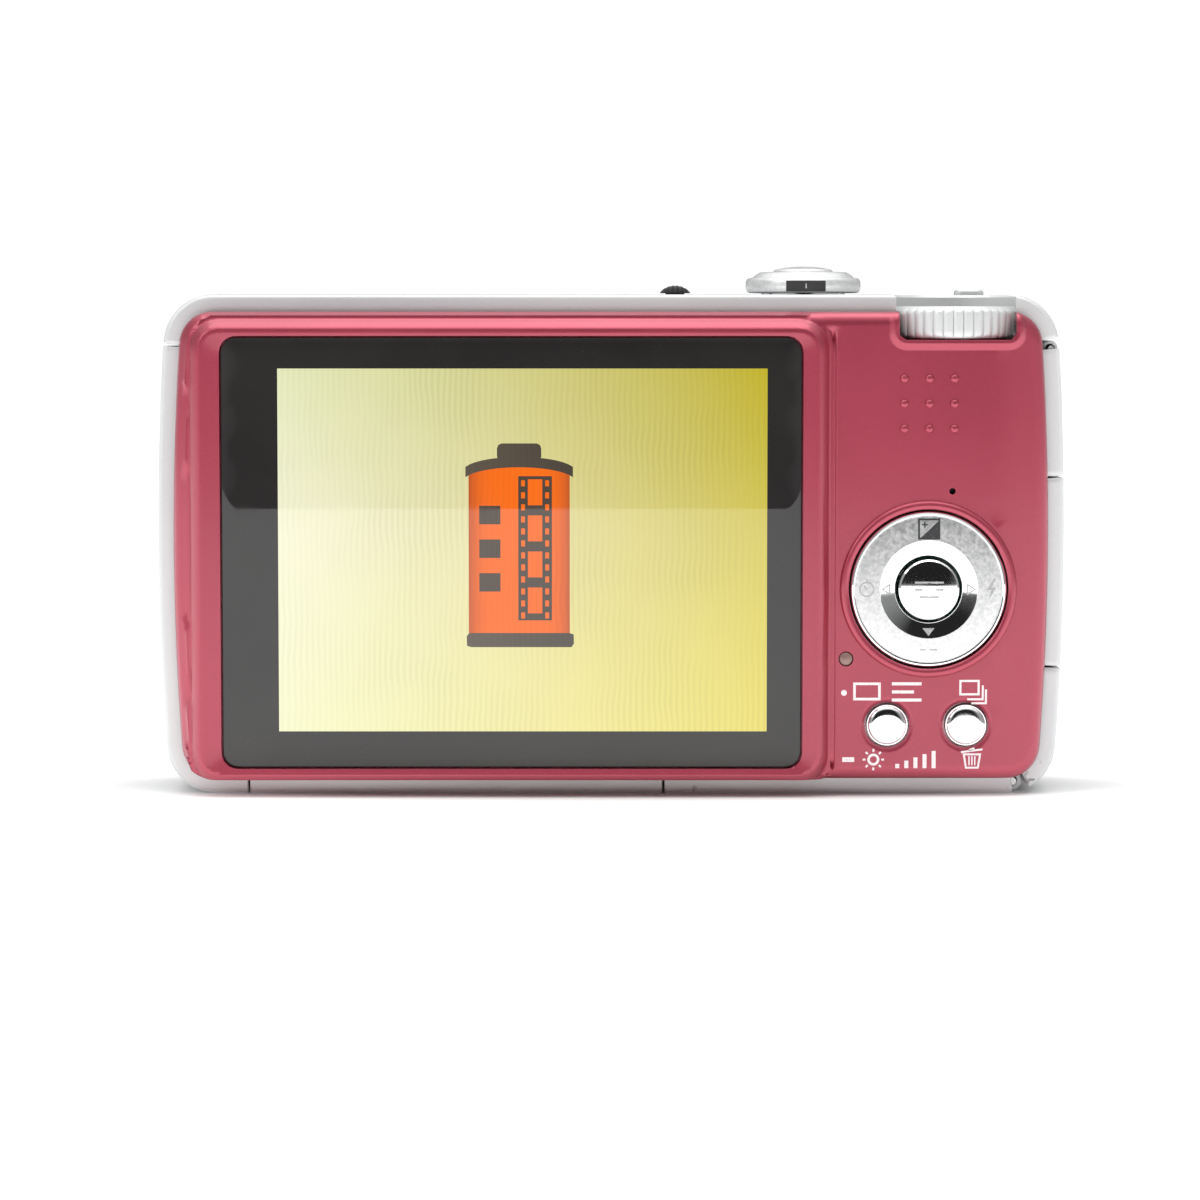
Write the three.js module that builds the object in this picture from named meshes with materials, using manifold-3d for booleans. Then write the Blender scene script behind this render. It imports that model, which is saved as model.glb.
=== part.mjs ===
// Compact digital camera. Millimetres, +X to the photographer's right, +Y towards the subject, +Z up.
// The origin is the middle of the base of the box that holds the camera with its lens retracted.

import * as THREE from 'three';
import { mergeVertices } from 'three/addons/utils/BufferGeometryUtils.js';
import Module from 'manifold-3d';

const wasm = await Module();
wasm.setup();

// ---------------------------------------------------------------- driving dimensions

// Case
const bodyWidth = 95.1;
const bodyHeight = 52.4;
const totalDepth = 24.2;
const sideBulgeRadius = 300;
const bodyCorner = 5.3;
const bandWall = 1.2;
const coverWall = 1.0;
const coverInset = 1.8;
const coverRounding = 1.5;
const rearCoverDepth = 2.7;
const frontCoverDepth = 2.5;
const crestHeight = 1.2;
const ringProud = 3.2;
const seamGap = 0.2;
const fitGap = 0.3;
const runGap = 0.3;

// Seams of the silver band, from the nearest end of the body
const leftSeamBelowTop = 5.15;
const rightSeamBelowTop = 4.55;
const strapPlateTop = 33.25;
const strapPlateBottom = 13.25;
const leftSeamInset = 9.35;
const doorFreeEndInset = 42.15;
const cornerCoverInset = 3.95;

// Screen
const glassInset = 7.05;
const glassWidth = 60.3;
const glassHeight = 44.8;
const glassThickness = 0.8;
const glassCorner = 1.6;
const glassRecess = 0.4;
const bezelMargin = 2.4;
const bezelSideMargin = 1.8;
const bezelRise = 1.6;
const activeWidth = 50.8;
const activeHeight = 38.1;
const activeInset = 5.9;
const activeRise = 0.25;
const panelMargin = 1.9;
const panelThickness = 1.6;
const backlightThickness = 1.2;
const grooveWidth = 0.8;
const grooveDepth = 0.4;

// Control panel on the back
const padFromRight = 14.5;
const padHeight = 21.75;
const padRadius = 8.15;
const padThickness = 1.0;
const padProud = 0.6;
const setRadius = 3.2;
const setProud = 1.15;
const carrierRadius = 6.5;
const carrierThickness = 0.6;
const carrierGap = 0.5;
const keyRadius = 2.15;
const keyProud = 0.8;
const keyFlange = 0.65;
const keyHeight = 7.55;
const displayKeyOffset = -4.25;
const burstKeyOffset = 3.95;
const pressTravel = 0.4;
const lampOffset = -8.55;
const lampHeight = 14.45;
const lampRadius = 0.7;
const bumpPitch = 2.6;
const bumpRadius = 0.42;
const bumpProud = 0.3;
const bumpMiddleHeight = 41.05;
const pinholeRadius = 0.4;
const pinholeOffset = 2.45;
const pinholeHeight = 31.95;

// Top controls
const dialFromRight = 11.55;
const dialRadius = 7.0;
const dialHeight = 3.4;
const dialBelowTop = 1.25;
const dialRearReach = 0.5;
const dialSlotWidth = 12.2;
const dialKnurls = 40;
const dialKnurlDepth = 0.25;
const zoomFromRight = 27.15;
const zoomRadius = 6.1;
const zoomRingHeight = 1.8;
const zoomConeHeight = 2.4;
const zoomTabReach = 7.7;
const zoomTabWidth = 3.2;
const shutterRadius = 3.2;
const shutterProud = 3.0;
const shutterTravel = 1.0;
const sliderFromRight = 40.75;
const sliderLength = 3.2;
const sliderWidth = 2.8;
const sliderProud = 1.0;
const sliderTravel = 3.0;
const sliderNeckInset = 0.6;
const sliderNeckHalfWidth = 0.8;
const steadyFromRight = 9.05;
const steadyLength = 3.1;
const steadyWidth = 2.4;
const steadyProud = 0.6;
const steadyFromBandFront = 1.9;
const micFromRight = 45.3;
const micSlitLength = 2.1;
const micSlitWidth = 0.6;
const micRadius = 2.0;

// Lens
const lensFromLeft = 30.55;
const lensHeight = 26.2;
const apertureRadius = 4.0;
const bladeOverlap = 0.3;
const bladeClear = 0.245;
const bladeSwing = 35;
const bladeThickness = 0.45;
const bladeEyeRadius = 1.0;
const bladeParting = 0.08;
const bladeCavityGap = 0.7;
const innerBarrelWall = 1.6;
const barrelWall = 1.1;
const barrelStep = 2.6;
const ringStep = 2.6;
const frontLensEdge = 1.2;
const sensorWidth = 9.0;
const sensorHeight = 7.0;

// Front fittings
const flashFromRight = 38.5;
const flashWidth = 13.0;
const flashHeight = 6.0;
const flashBelowTop = 6.4;
const assistFromRight = 42.7;
const assistRadius = 1.6;
const assistBelowTop = 9.4;

// Battery, card and doors
const batteryFromRight = 38.9;
const batteryWidth = 30.6;
const batteryHeight = 36.0;
const batteryThickness = 6.6;
const cardWidth = 24.0;
const cardHeight = 32.0;
const cardThickness = 2.1;
const bayWall = 0.7;
const doorSpace = 1.8;
const hingePinRadius = 0.4;
const doorKnuckleRadius = 1.1;
const doorKnuckleInset = 5.25;
const terminalPinRadius = 0.3;
const terminalKnuckleRadius = 0.85;
const leverLength = 4.4;
const leverWidth = 3.4;
const leverTravel = 2.4;
const leverFromFreeEnd = 7.0;
const strapSlotBottom = 19.05;
const strapSlotLength = 8.7;
const strapSlotWidth = 3.4;
const strapBarRadius = 0.7;

// Base and fixings
const socketFromLeft = 43.55;
const socketRadius = 5.0;
const socketBore = 3.0;
const socketDepth = 5.5;
const socketRoof = 1.0;
const speakerFromLeft = 22.5;
const speakerRadius = 4.0;
const speakerHoleRadius = 0.5;
const speakerHolePitch = 1.9;
const screwHeadRadius = 1.1;
const screwHeadHeight = 0.5;
const screwShankRadius = 0.6;
const screwLength = 2.4;
const screwSink = 0.1;
const lowScrewHeight = 9.0;

// Boards and frame
const boardThickness = 0.8;
const chassisThickness = 0.6;
const capacitorRadius = 3.6;
const capacitorLength = 30.0;
const capacitorLow = 8.0;
const motorRadius = 2.8;

// ---------------------------------------------------------------- places worked out from them

const leftEdge = -bodyWidth / 2;
const rightEdge = bodyWidth / 2;
const midHeight = bodyHeight / 2;
const crestY = -totalDepth / 2;
const ringFrontY = totalDepth / 2;
const panelY = crestY + crestHeight;
const frontFaceY = ringFrontY - ringProud;
const bandRearY = panelY + rearCoverDepth;
const bandFrontY = frontFaceY - frontCoverDepth;
const bandMidY = (bandRearY + bandFrontY) / 2;
const panelInnerY = panelY + coverWall;
const frontInnerY = frontFaceY - coverWall;
const topInnerZ = bodyHeight - bandWall;

const glassLeft = leftEdge + glassInset;
const glassRight = glassLeft + glassWidth;
const glassMiddleZ = midHeight - 0.65;
const glassBottom = glassMiddleZ - glassHeight / 2;
const glassTop = glassMiddleZ + glassHeight / 2;
const glassRearY = crestY + glassRecess;
const glassSeatY = glassRearY + glassThickness + seamGap;
const activeLeft = glassLeft + activeInset;
const activeMiddleZ = glassMiddleZ + activeRise;
const moduleRearY = glassSeatY + coverWall - 0.4;
const backlightRearY = moduleRearY + panelThickness + 0.1;
const chassisRearY = backlightRearY + backlightThickness + 0.2;
const boardRearY = chassisRearY + chassisThickness + 0.6;
const boardFrontY = boardRearY + boardThickness;

const padX = rightEdge - padFromRight;
const padRearY = panelY - padProud;
const carrierRearY = padRearY + padThickness + carrierGap;
const switchBoardRearY = panelY + 2.3;
const dialX = rightEdge - dialFromRight;
const dialY = panelY - dialRearReach + dialRadius;
const dialTopZ = bodyHeight - dialBelowTop;
const dialBottomZ = dialTopZ - dialHeight;
const zoomX = rightEdge - zoomFromRight;
const sliderX = rightEdge - sliderFromRight;
const steadyX = rightEdge - steadyFromRight;
const steadyY = bandFrontY - steadyFromBandFront;
const micX = rightEdge - micFromRight;
const topBoardTopZ = dialBottomZ - 0.9;

const lensX = leftEdge + lensFromLeft;
const bladeRadius = apertureRadius + bladeOverlap;
const bladePivotReach = (apertureRadius + bladeClear) / Math.sin(THREE.MathUtils.degToRad(bladeSwing));
const bladeCavityRadius = bladePivotReach + bladeEyeRadius + bladeCavityGap;
const frontLensRadius = apertureRadius + frontLensEdge;
const innerBarrelRadius = bladeCavityRadius + innerBarrelWall;
const middleBarrelRadius = innerBarrelRadius + barrelStep;
const outerBarrelRadius = middleBarrelRadius + barrelStep;
const ringRadius = outerBarrelRadius + ringStep;
const housingRearY = boardFrontY + 0.4;
const barrelRearY = housingRearY + 3.2;

const doorLeft = rightEdge - doorFreeEndInset;
const doorPinX = rightEdge - doorKnuckleInset;
const doorPinZ = doorKnuckleRadius + 0.15;
const cornerCoverX = rightEdge - cornerCoverInset;
const terminalPinZ = bodyHeight - rightSeamBelowTop - terminalKnuckleRadius - 0.25;
const terminalPinX = sideReach(terminalPinZ) - terminalKnuckleRadius;
const batteryLeft = rightEdge - batteryFromRight;
const batteryFrontY = frontInnerY - fitGap - bayWall - fitGap;
const batteryRearY = batteryFrontY - batteryThickness;
const cardFrontY = batteryRearY - fitGap - bayWall - fitGap;
const bayBottomZ = bandWall + doorSpace;
const socketX = leftEdge + socketFromLeft;
const speakerX = leftEdge + speakerFromLeft;
const farAway = 2 * (bodyWidth + bodyHeight + totalDepth);

// ---------------------------------------------------------------- finishes

const redPaint = { color: 0xa8455a, roughness: 0.38, metalness: 0.5 };
const silverPaint = { color: 0xd4d6d6, roughness: 0.32, metalness: 0.7 };
const chromePlate = { color: 0xf0f0f0, roughness: 0.08, metalness: 1.0 };
const blackGloss = { color: 0x2c2a2c, roughness: 0.08, metalness: 0.0 };
const blackPlastic = { color: 0x1d1d1f, roughness: 0.6, metalness: 0.0 };
const lensGlass = { color: 0x39424e, roughness: 0.03, metalness: 0.0 };
const clearPlastic = { color: 0xdfe3e6, roughness: 0.12, metalness: 0.0 };
const bareSteel = { color: 0xb4b6b8, roughness: 0.35, metalness: 1.0 };
const boardGreen = { color: 0x1f5a3a, roughness: 0.5, metalness: 0.0 };
const amberLamp = { color: 0x8a6d66, roughness: 0.25, metalness: 0.0 };
const wrapGrey = { color: 0x46494e, roughness: 0.5, metalness: 0.0 };

// ---------------------------------------------------------------- making and joining solids

/** A manifold solid from a closed three.js geometry. */
function solidOf(geometry) {
  const bare = geometry.clone();
  bare.deleteAttribute('normal');
  bare.deleteAttribute('uv');
  const merged = mergeVertices(bare, 1e-4);
  return new wasm.Manifold(new wasm.Mesh({
    numProp: 3,
    vertProperties: new Float32Array(merged.attributes.position.array),
    triVerts: new Uint32Array(merged.index.array),
  }));
}

/** A three.js geometry from a manifold solid. */
function geometryOf(solid) {
  const mesh = solid.getMesh();
  const geometry = new THREE.BufferGeometry();
  geometry.setAttribute('position', new THREE.BufferAttribute(new Float32Array(mesh.vertProperties), 3));
  geometry.setIndex(new THREE.BufferAttribute(new Uint32Array(mesh.triVerts), 1));
  geometry.computeVertexNormals();
  return geometry;
}

/** A box between two values on each axis. */
function block(x0, x1, y0, y1, z0, z1) {
  const geometry = new THREE.BoxGeometry(x1 - x0, y1 - y0, z1 - z0);
  geometry.translate((x0 + x1) / 2, (y0 + y1) / 2, (z0 + z1) / 2);
  return solidOf(geometry);
}

/** A cylinder or cone along Z, with its two radii. */
function rodZ(x, y, z0, z1, lowRadius, sides = 24, highRadius = lowRadius) {
  const geometry = new THREE.CylinderGeometry(highRadius, lowRadius, z1 - z0, sides);
  geometry.rotateX(Math.PI / 2);
  geometry.translate(x, y, (z0 + z1) / 2);
  return solidOf(geometry);
}

/** A cylinder or cone along Y, with its two radii. */
function rodY(x, z, y0, y1, rearRadius, sides = 24, frontRadius = rearRadius) {
  const geometry = new THREE.CylinderGeometry(frontRadius, rearRadius, y1 - y0, sides);
  geometry.translate(x, (y0 + y1) / 2, z);
  return solidOf(geometry);
}

/** A cylinder along X. */
function rodX(y, z, x0, x1, radius, sides = 16) {
  const geometry = new THREE.CylinderGeometry(radius, radius, x1 - x0, sides);
  geometry.rotateZ(Math.PI / 2);
  geometry.translate((x0 + x1) / 2, y, z);
  return solidOf(geometry);
}

/** A shape drawn in X and Z, carried along Y. */
function plateY(shape, y0, y1, curveSegments = 2) {
  const geometry = new THREE.ExtrudeGeometry(shape, { depth: y1 - y0, bevelEnabled: false, curveSegments });
  geometry.rotateX(Math.PI / 2);
  geometry.translate(0, y1, 0);
  return solidOf(geometry);
}

/** A shape drawn in X and Y, carried along Z. */
function plateZ(shape, z0, z1, curveSegments = 2) {
  const geometry = new THREE.ExtrudeGeometry(shape, { depth: z1 - z0, bevelEnabled: false, curveSegments });
  geometry.translate(0, 0, z0);
  return solidOf(geometry);
}

/** A rectangle with round corners. */
function roundedRectangle(left, low, right, high, radius) {
  const shape = new THREE.Shape();
  shape.absarc(right - radius, low + radius, radius, -Math.PI / 2, 0, false);
  shape.absarc(right - radius, high - radius, radius, 0, Math.PI / 2, false);
  shape.absarc(left + radius, high - radius, radius, Math.PI / 2, Math.PI, false);
  shape.absarc(left + radius, low + radius, radius, Math.PI, 1.5 * Math.PI, false);
  return shape;
}

/** The body's outline from behind, drawn in by an inset: flat top and base, gently bulging sides. */
function bodyOutline(inset) {
  const radius = sideBulgeRadius - inset;
  const corner = bodyCorner - inset;
  const bulgeX = rightEdge - inset - radius;
  const rise = midHeight - inset - corner;
  const cornerX = bulgeX + Math.sqrt((radius - corner) ** 2 - rise ** 2);
  const turn = Math.atan2(rise, cornerX - bulgeX);
  const shape = new THREE.Shape();
  shape.absarc(bulgeX, midHeight, radius, -turn, turn, false);
  shape.absarc(cornerX, midHeight + rise, corner, turn, Math.PI / 2, false);
  shape.absarc(-cornerX, midHeight + rise, corner, Math.PI / 2, Math.PI - turn, false);
  shape.absarc(-bulgeX, midHeight, radius, Math.PI - turn, Math.PI + turn, false);
  shape.absarc(-cornerX, midHeight - rise, corner, Math.PI + turn, 1.5 * Math.PI, false);
  shape.absarc(cornerX, midHeight - rise, corner, 1.5 * Math.PI, 2 * Math.PI - turn, false);
  return shape;
}

/** A plate of the body's outline whose rear edge is rounded. */
function roundedBody(inset, rearY, depth) {
  const geometry = new THREE.ExtrudeGeometry(bodyOutline(inset), {
    depth,
    curveSegments: 2,
    bevelEnabled: true,
    bevelThickness: coverRounding,
    bevelSize: coverRounding,
    bevelOffset: -coverRounding,
    bevelSegments: 3,
  });
  geometry.rotateX(Math.PI / 2);
  geometry.translate(0, rearY + coverRounding + depth, 0);
  return solidOf(geometry).subtract(block(-farAway, farAway, rearY + depth, farAway, -farAway, farAway));
}

// ---------------------------------------------------------------- the tree of pieces

const camera = new THREE.Group();
camera.name = 'compact_camera';

/** A group inside the camera, for the pieces that belong together. */
function makeGroup(name) {
  const group = new THREE.Group();
  group.name = name;
  camera.add(group);
  return group;
}

/** Adds one named piece with its own material. */
function addPiece(group, name, solid, finish) {
  const mesh = new THREE.Mesh(geometryOf(solid), new THREE.MeshStandardMaterial(finish));
  mesh.name = name;
  group.add(mesh);
  return mesh;
}

const caseGroup = makeGroup('case');
const screenGroup = makeGroup('screen');
const controlGroup = makeGroup('controls');
const lensGroup = makeGroup('lens');
const frontGroup = makeGroup('front_fittings');
const powerGroup = makeGroup('battery_and_doors');
const insideGroup = makeGroup('inside');

// ---------------------------------------------------------------- rear cover

/** The raised frame round the screen. */
function bezelFrame() {
  const outline = roundedRectangle(glassLeft - bezelMargin, glassBottom - bezelRise + 1.0,
    glassRight + bezelSideMargin, glassTop + bezelRise, glassCorner + bezelSideMargin);
  return plateY(outline, crestY, panelInnerY);
}

/** The recess that the screen window drops into. */
function windowRecess() {
  const outline = roundedRectangle(glassLeft - fitGap, glassBottom - fitGap,
    glassRight + fitGap, glassTop + fitGap, glassCorner + fitGap);
  return plateY(outline, -farAway, glassSeatY);
}

/** The opening that the display module fills, with a margin. */
function moduleOpening(margin, y0, y1) {
  return block(activeLeft - panelMargin - margin, activeLeft + activeWidth + panelMargin + margin,
    y0, y1, activeMiddleZ - activeHeight / 2 - panelMargin - margin,
    activeMiddleZ + activeHeight / 2 + panelMargin + margin);
}

/** The holes for the keys, the pad, the lamp and the pinhole. */
function controlHoles() {
  const holes = [
    rodY(padX, padHeight, -farAway, bandRearY, padRadius + runGap, 32),
    rodY(padX + displayKeyOffset, keyHeight, -farAway, bandRearY, keyRadius + runGap),
    rodY(padX + burstKeyOffset, keyHeight, -farAway, bandRearY, keyRadius + runGap),
    rodY(padX + lampOffset, lampHeight, -farAway, bandRearY, lampRadius + seamGap, 12),
    rodY(padX + pinholeOffset, pinholeHeight, -farAway, bandRearY, pinholeRadius, 8),
  ];
  return wasm.Manifold.union(holes);
}

/** The nine bumps under the photographer's thumb. */
function thumbBumps() {
  const bumps = [];
  for (const column of [-1, 0, 1]) {
    for (const row of [-1, 0, 1]) {
      const x = padX + column * bumpPitch;
      const z = bumpMiddleHeight + row * bumpPitch;
      bumps.push(rodY(x, z, panelY - bumpProud, panelY + 0.2, bumpRadius * 0.5, 8, bumpRadius));
    }
  }
  return wasm.Manifold.union(bumps);
}

function makeRearCover() {
  const shell = roundedBody(coverInset, panelY, rearCoverDepth - seamGap);
  const hollow = plateY(bodyOutline(coverInset + coverWall), panelInnerY, farAway);
  const hollowed = shell.subtract(hollow).add(bezelFrame());
  const grooveLeft = glassRight + bezelSideMargin;
  const groove = block(grooveLeft, grooveLeft + grooveWidth, panelY - 0.1, panelY + grooveDepth,
    glassBottom, glassTop);
  const dialSlot = block(dialX - dialSlotWidth / 2, dialX + dialSlotWidth / 2, -farAway, farAway,
    dialBottomZ - 0.4, farAway);
  const cover = hollowed.add(thumbBumps()).subtract(windowRecess()).subtract(groove)
    .subtract(moduleOpening(fitGap, -farAway, farAway)).subtract(controlHoles()).subtract(dialSlot);
  addPiece(caseGroup, 'rear_cover', cover, redPaint);
}

// ---------------------------------------------------------------- front cover

function makeFrontCover() {
  const shell = roundedBody(coverInset, -frontFaceY, frontCoverDepth - seamGap).mirror([0, 1, 0]);
  const hollow = plateY(bodyOutline(coverInset + coverWall), -farAway, frontInnerY);
  const lensHole = rodY(lensX, lensHeight, -farAway, farAway, ringRadius - 1.0, 36);
  const flashHole = flashBlock(seamGap, -farAway, farAway);
  const assistHole = rodY(rightEdge - assistFromRight, bodyHeight - assistBelowTop, -farAway, farAway,
    assistRadius + seamGap, 16);
  const cover = shell.subtract(hollow).subtract(lensHole).subtract(flashHole).subtract(assistHole);
  addPiece(caseGroup, 'front_cover', cover, redPaint);
}

// ---------------------------------------------------------------- silver band

/** The whole silver band round the body, before its seams are cut. */
function bandRing() {
  const outer = plateY(bodyOutline(0), bandRearY, bandFrontY);
  return outer.subtract(plateY(bodyOutline(bandWall), -farAway, farAway));
}

/** One screw: a head with a plain shank, pointing down from z = 0. */
function screwSolid(clearance) {
  const head = rodZ(0, 0, -screwHeadHeight - clearance, farAway * Math.sign(clearance),
    screwHeadRadius + clearance, 12);
  const shank = rodZ(0, 0, -screwLength, -screwHeadHeight, screwShankRadius + clearance, 8);
  return head.add(shank);
}

const halfTurn = Math.PI;
const quarterTurn = Math.PI / 2;

/** The side of the body at a height, as the distance from the middle plane. */
function sideReach(z) {
  return rightEdge - sideBulgeRadius + Math.sqrt(sideBulgeRadius ** 2 - (z - midHeight) ** 2);
}

const screwPlaces = [
  { name: 'screw_bottom_1', at: [leftEdge + 14.0, bandMidY, screwSink], turn: [halfTurn, 0] },
  { name: 'screw_bottom_2', at: [leftEdge + 34.0, bandMidY, screwSink], turn: [halfTurn, 0] },
  { name: 'screw_left_1', at: [-sideReach(lowScrewHeight) + screwSink, bandMidY, lowScrewHeight],
    turn: [0, -quarterTurn] },
  { name: 'screw_left_2', at: [-sideReach(midHeight) + screwSink, bandMidY, midHeight],
    turn: [0, -quarterTurn] },
  { name: 'screw_right_1', at: [sideReach(16.05) - screwSink, bandMidY, 16.05], turn: [0, quarterTurn] },
  { name: 'screw_right_2', at: [sideReach(30.65) - screwSink, bandMidY, 30.65], turn: [0, quarterTurn] },
];

/** The placement of one screw as a matrix. */
function screwMatrix(place) {
  const turned = new THREE.Matrix4().makeRotationFromEuler(new THREE.Euler(place.turn[0], place.turn[1], 0));
  return turned.setPosition(...place.at);
}

/** The pockets and clearance holes of all the screws. */
function screwHoles() {
  const holes = [];
  for (const place of screwPlaces) {
    holes.push(screwSolid(seamGap).transform(screwMatrix(place).elements));
  }
  return wasm.Manifold.union(holes);
}

function makeScrews() {
  const head = rodZ(0, 0, -screwHeadHeight, 0, screwHeadRadius, 12);
  const solid = head.add(rodZ(0, 0, -screwLength, -screwHeadHeight, screwShankRadius, 8));
  for (const place of screwPlaces) {
    const mesh = addPiece(caseGroup, place.name, solid, bareSteel);
    mesh.position.set(...place.at);
    mesh.rotation.set(place.turn[0], place.turn[1], 0);
  }
}

/** The holes in the top wall: dial, zoom ring's hub, power slider, small key and microphone slit. */
function topHoles() {
  const slotHalfLength = sliderLength / 2 - sliderNeckInset + runGap;
  const slotHalfWidth = sliderNeckHalfWidth + runGap;
  const slider = roundedRectangle(sliderX - slotHalfLength - sliderTravel, bandMidY - slotHalfWidth,
    sliderX + slotHalfLength, bandMidY + slotHalfWidth, 0.8);
  const steady = roundedRectangle(steadyX - steadyLength / 2 - seamGap, steadyY - steadyWidth / 2 - seamGap,
    steadyX + steadyLength / 2 + seamGap, steadyY + steadyWidth / 2 + seamGap, 1.0);
  const slit = block(micX - micSlitLength / 2, micX + micSlitLength / 2,
    bandMidY - micSlitWidth / 2, bandMidY + micSlitWidth / 2, midHeight, farAway);
  return wasm.Manifold.union([
    rodZ(dialX, dialY, dialBottomZ - 0.4, farAway, dialRadius + runGap, 40),
    rodZ(zoomX, bandMidY, midHeight, farAway, zoomHubRadius + runGap, 24),
    plateZ(slider, midHeight, farAway),
    plateZ(steady, midHeight, farAway),
    slit,
  ]);
}

/** The round speaker holes, one in the middle and six round it. */
function speakerHoles() {
  const holes = [rodZ(speakerX, bandMidY, -farAway, midHeight, speakerHoleRadius, 8)];
  for (let index = 0; index < 6; index += 1) {
    const angle = index * Math.PI / 3;
    const x = speakerX + speakerHolePitch * Math.cos(angle);
    const y = bandMidY + speakerHolePitch * Math.sin(angle);
    holes.push(rodZ(x, y, -farAway, midHeight, speakerHoleRadius, 8));
  }
  return wasm.Manifold.union(holes);
}

const zoomHubRadius = 4.4;
const leftSeamZ = bodyHeight - leftSeamBelowTop;
const rightSeamZ = bodyHeight - rightSeamBelowTop;
const leftSeamX = leftEdge + leftSeamInset;

function makeTopCover(ring) {
  const overLeft = block(-farAway, 0, -farAway, farAway, leftSeamZ, farAway);
  const overRight = block(0, farAway, -farAway, farAway, rightSeamZ, farAway);
  const cover = ring.intersect(overLeft.add(overRight)).subtract(topHoles());
  addPiece(caseGroup, 'top_cover', cover, silverPaint);
}

function makeLowerBand(ring, holes) {
  const left = block(-farAway, 0, -farAway, farAway, bandWall + bodyCorner, leftSeamZ - seamGap)
    .add(block(-farAway, leftSeamX, -farAway, farAway, -1, bandWall + bodyCorner));
  addPiece(caseGroup, 'left_band', ring.intersect(left).subtract(holes), silverPaint);

  const socketHole = rodZ(socketX, bandMidY, -farAway, midHeight, socketRadius + seamGap, 24);
  const base = ring.intersect(block(leftSeamX + seamGap, doorLeft, -farAway, farAway, -1, midHeight));
  const pierced = base.subtract(holes).subtract(socketHole).subtract(speakerHoles());
  addPiece(caseGroup, 'bottom_plate', pierced, silverPaint);

  const corner = block(cornerCoverX, farAway, -farAway, farAway, -1, strapPlateBottom);
  addPiece(caseGroup, 'right_corner_cover', ring.intersect(corner), silverPaint);

  const side = block(0, farAway, -farAway, farAway, strapPlateBottom + seamGap, strapPlateTop);
  const slot = block(0, farAway, bandMidY - strapSlotWidth / 2, bandMidY + strapSlotWidth / 2,
    strapSlotBottom, strapSlotBottom + strapSlotLength);
  addPiece(caseGroup, 'strap_plate', ring.intersect(side).subtract(slot).subtract(holes), silverPaint);

  const barX = sideReach(midHeight) - bandWall - strapBarRadius - fitGap;
  const bar = rodZ(barX, bandMidY, strapSlotBottom - 1.0, strapSlotBottom + strapSlotLength + 1.0,
    strapBarRadius, 12);
  addPiece(caseGroup, 'strap_bar', bar, bareSteel);
}

// ---------------------------------------------------------------- screen

function makeScreen() {
  const outline = roundedRectangle(glassLeft, glassBottom, glassRight, glassTop, glassCorner);
  addPiece(screenGroup, 'lcd_window', plateY(outline, glassRearY, glassRearY + glassThickness), blackGloss);
  addPiece(screenGroup, 'lcd_panel', moduleOpening(0, moduleRearY, moduleRearY + panelThickness), wrapGrey);
  addPiece(screenGroup, 'lcd_backlight',
    moduleOpening(0.1, backlightRearY, backlightRearY + backlightThickness), clearPlastic);
}

// ---------------------------------------------------------------- keys on the back

/** A round key with a domed face and a flange that keeps it behind the cover. */
function roundKey(x, z, radius, proud, flange, frontY) {
  const stem = rodY(x, z, panelY, frontY, radius, 24);
  const dome = rodY(x, z, panelY - proud, panelY, radius * 0.72, 24, radius);
  const collarRearY = panelInnerY + runGap;
  const collar = rodY(x, z, collarRearY, collarRearY + 0.4, radius + flange, 24);
  return stem.add(dome).add(collar);
}

function makeRearKeys() {
  const keyFrontY = panelInnerY + runGap + 0.4;
  addPiece(controlGroup, 'display_button',
    roundKey(padX + displayKeyOffset, keyHeight, keyRadius, keyProud, keyFlange, keyFrontY), chromePlate);
  addPiece(controlGroup, 'burst_button',
    roundKey(padX + burstKeyOffset, keyHeight, keyRadius, keyProud, keyFlange, keyFrontY), chromePlate);

  const boreRadius = setRadius + runGap + 0.1;
  const bore = rodY(padX, padHeight, -farAway, farAway, boreRadius, 24);
  const disc = rodY(padX, padHeight, padRearY, padRearY + 0.5, padRadius - 0.4, 32, padRadius);
  const rim = rodY(padX, padHeight, padRearY + 0.5, padRearY + padThickness, padRadius, 32);
  const hub = rodY(padX, padHeight, padRearY + padThickness, carrierRearY - carrierGap / 2,
    boreRadius + barrelWall, 24);
  addPiece(controlGroup, 'cursor_pad', disc.add(rim).add(hub).subtract(bore), silverPaint);

  const carrier = rodY(padX, padHeight, carrierRearY, carrierRearY + carrierThickness, carrierRadius, 24);
  addPiece(controlGroup, 'pad_carrier', carrier.subtract(bore), blackPlastic);

  const setFrontY = carrierRearY + carrierThickness + 0.1;
  const stem = rodY(padX, padHeight, padRearY, setFrontY, setRadius, 24);
  const dome = rodY(padX, padHeight, panelY - setProud, padRearY, setRadius * 0.7, 24, setRadius);
  addPiece(controlGroup, 'set_button', stem.add(dome), chromePlate);

  const lamp = rodY(padX + lampOffset, lampHeight, panelY - 0.05, panelInnerY + 0.8, lampRadius, 12);
  addPiece(controlGroup, 'status_lamp', lamp, amberLamp);
}

// ---------------------------------------------------------------- controls on the top

/** The knurled rim of the dial as an outline with shallow teeth. */
function knurledOutline() {
  const shape = new THREE.Shape();
  for (let index = 0; index < 2 * dialKnurls; index += 1) {
    const angle = index * Math.PI / dialKnurls;
    const radius = dialRadius - (index % 2) * dialKnurlDepth;
    const point = [dialX + radius * Math.cos(angle), dialY + radius * Math.sin(angle)];
    if (index === 0) {
      shape.moveTo(...point);
    } else {
      shape.lineTo(...point);
    }
  }
  shape.closePath();
  return shape;
}

function makeDial() {
  const rim = plateZ(knurledOutline(), dialBottomZ, dialTopZ);
  const hub = rodZ(dialX, dialY, topBoardTopZ + seamGap, dialBottomZ, 1.8, 16);
  addPiece(controlGroup, 'mode_dial', rim.add(hub), silverPaint);
}

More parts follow.
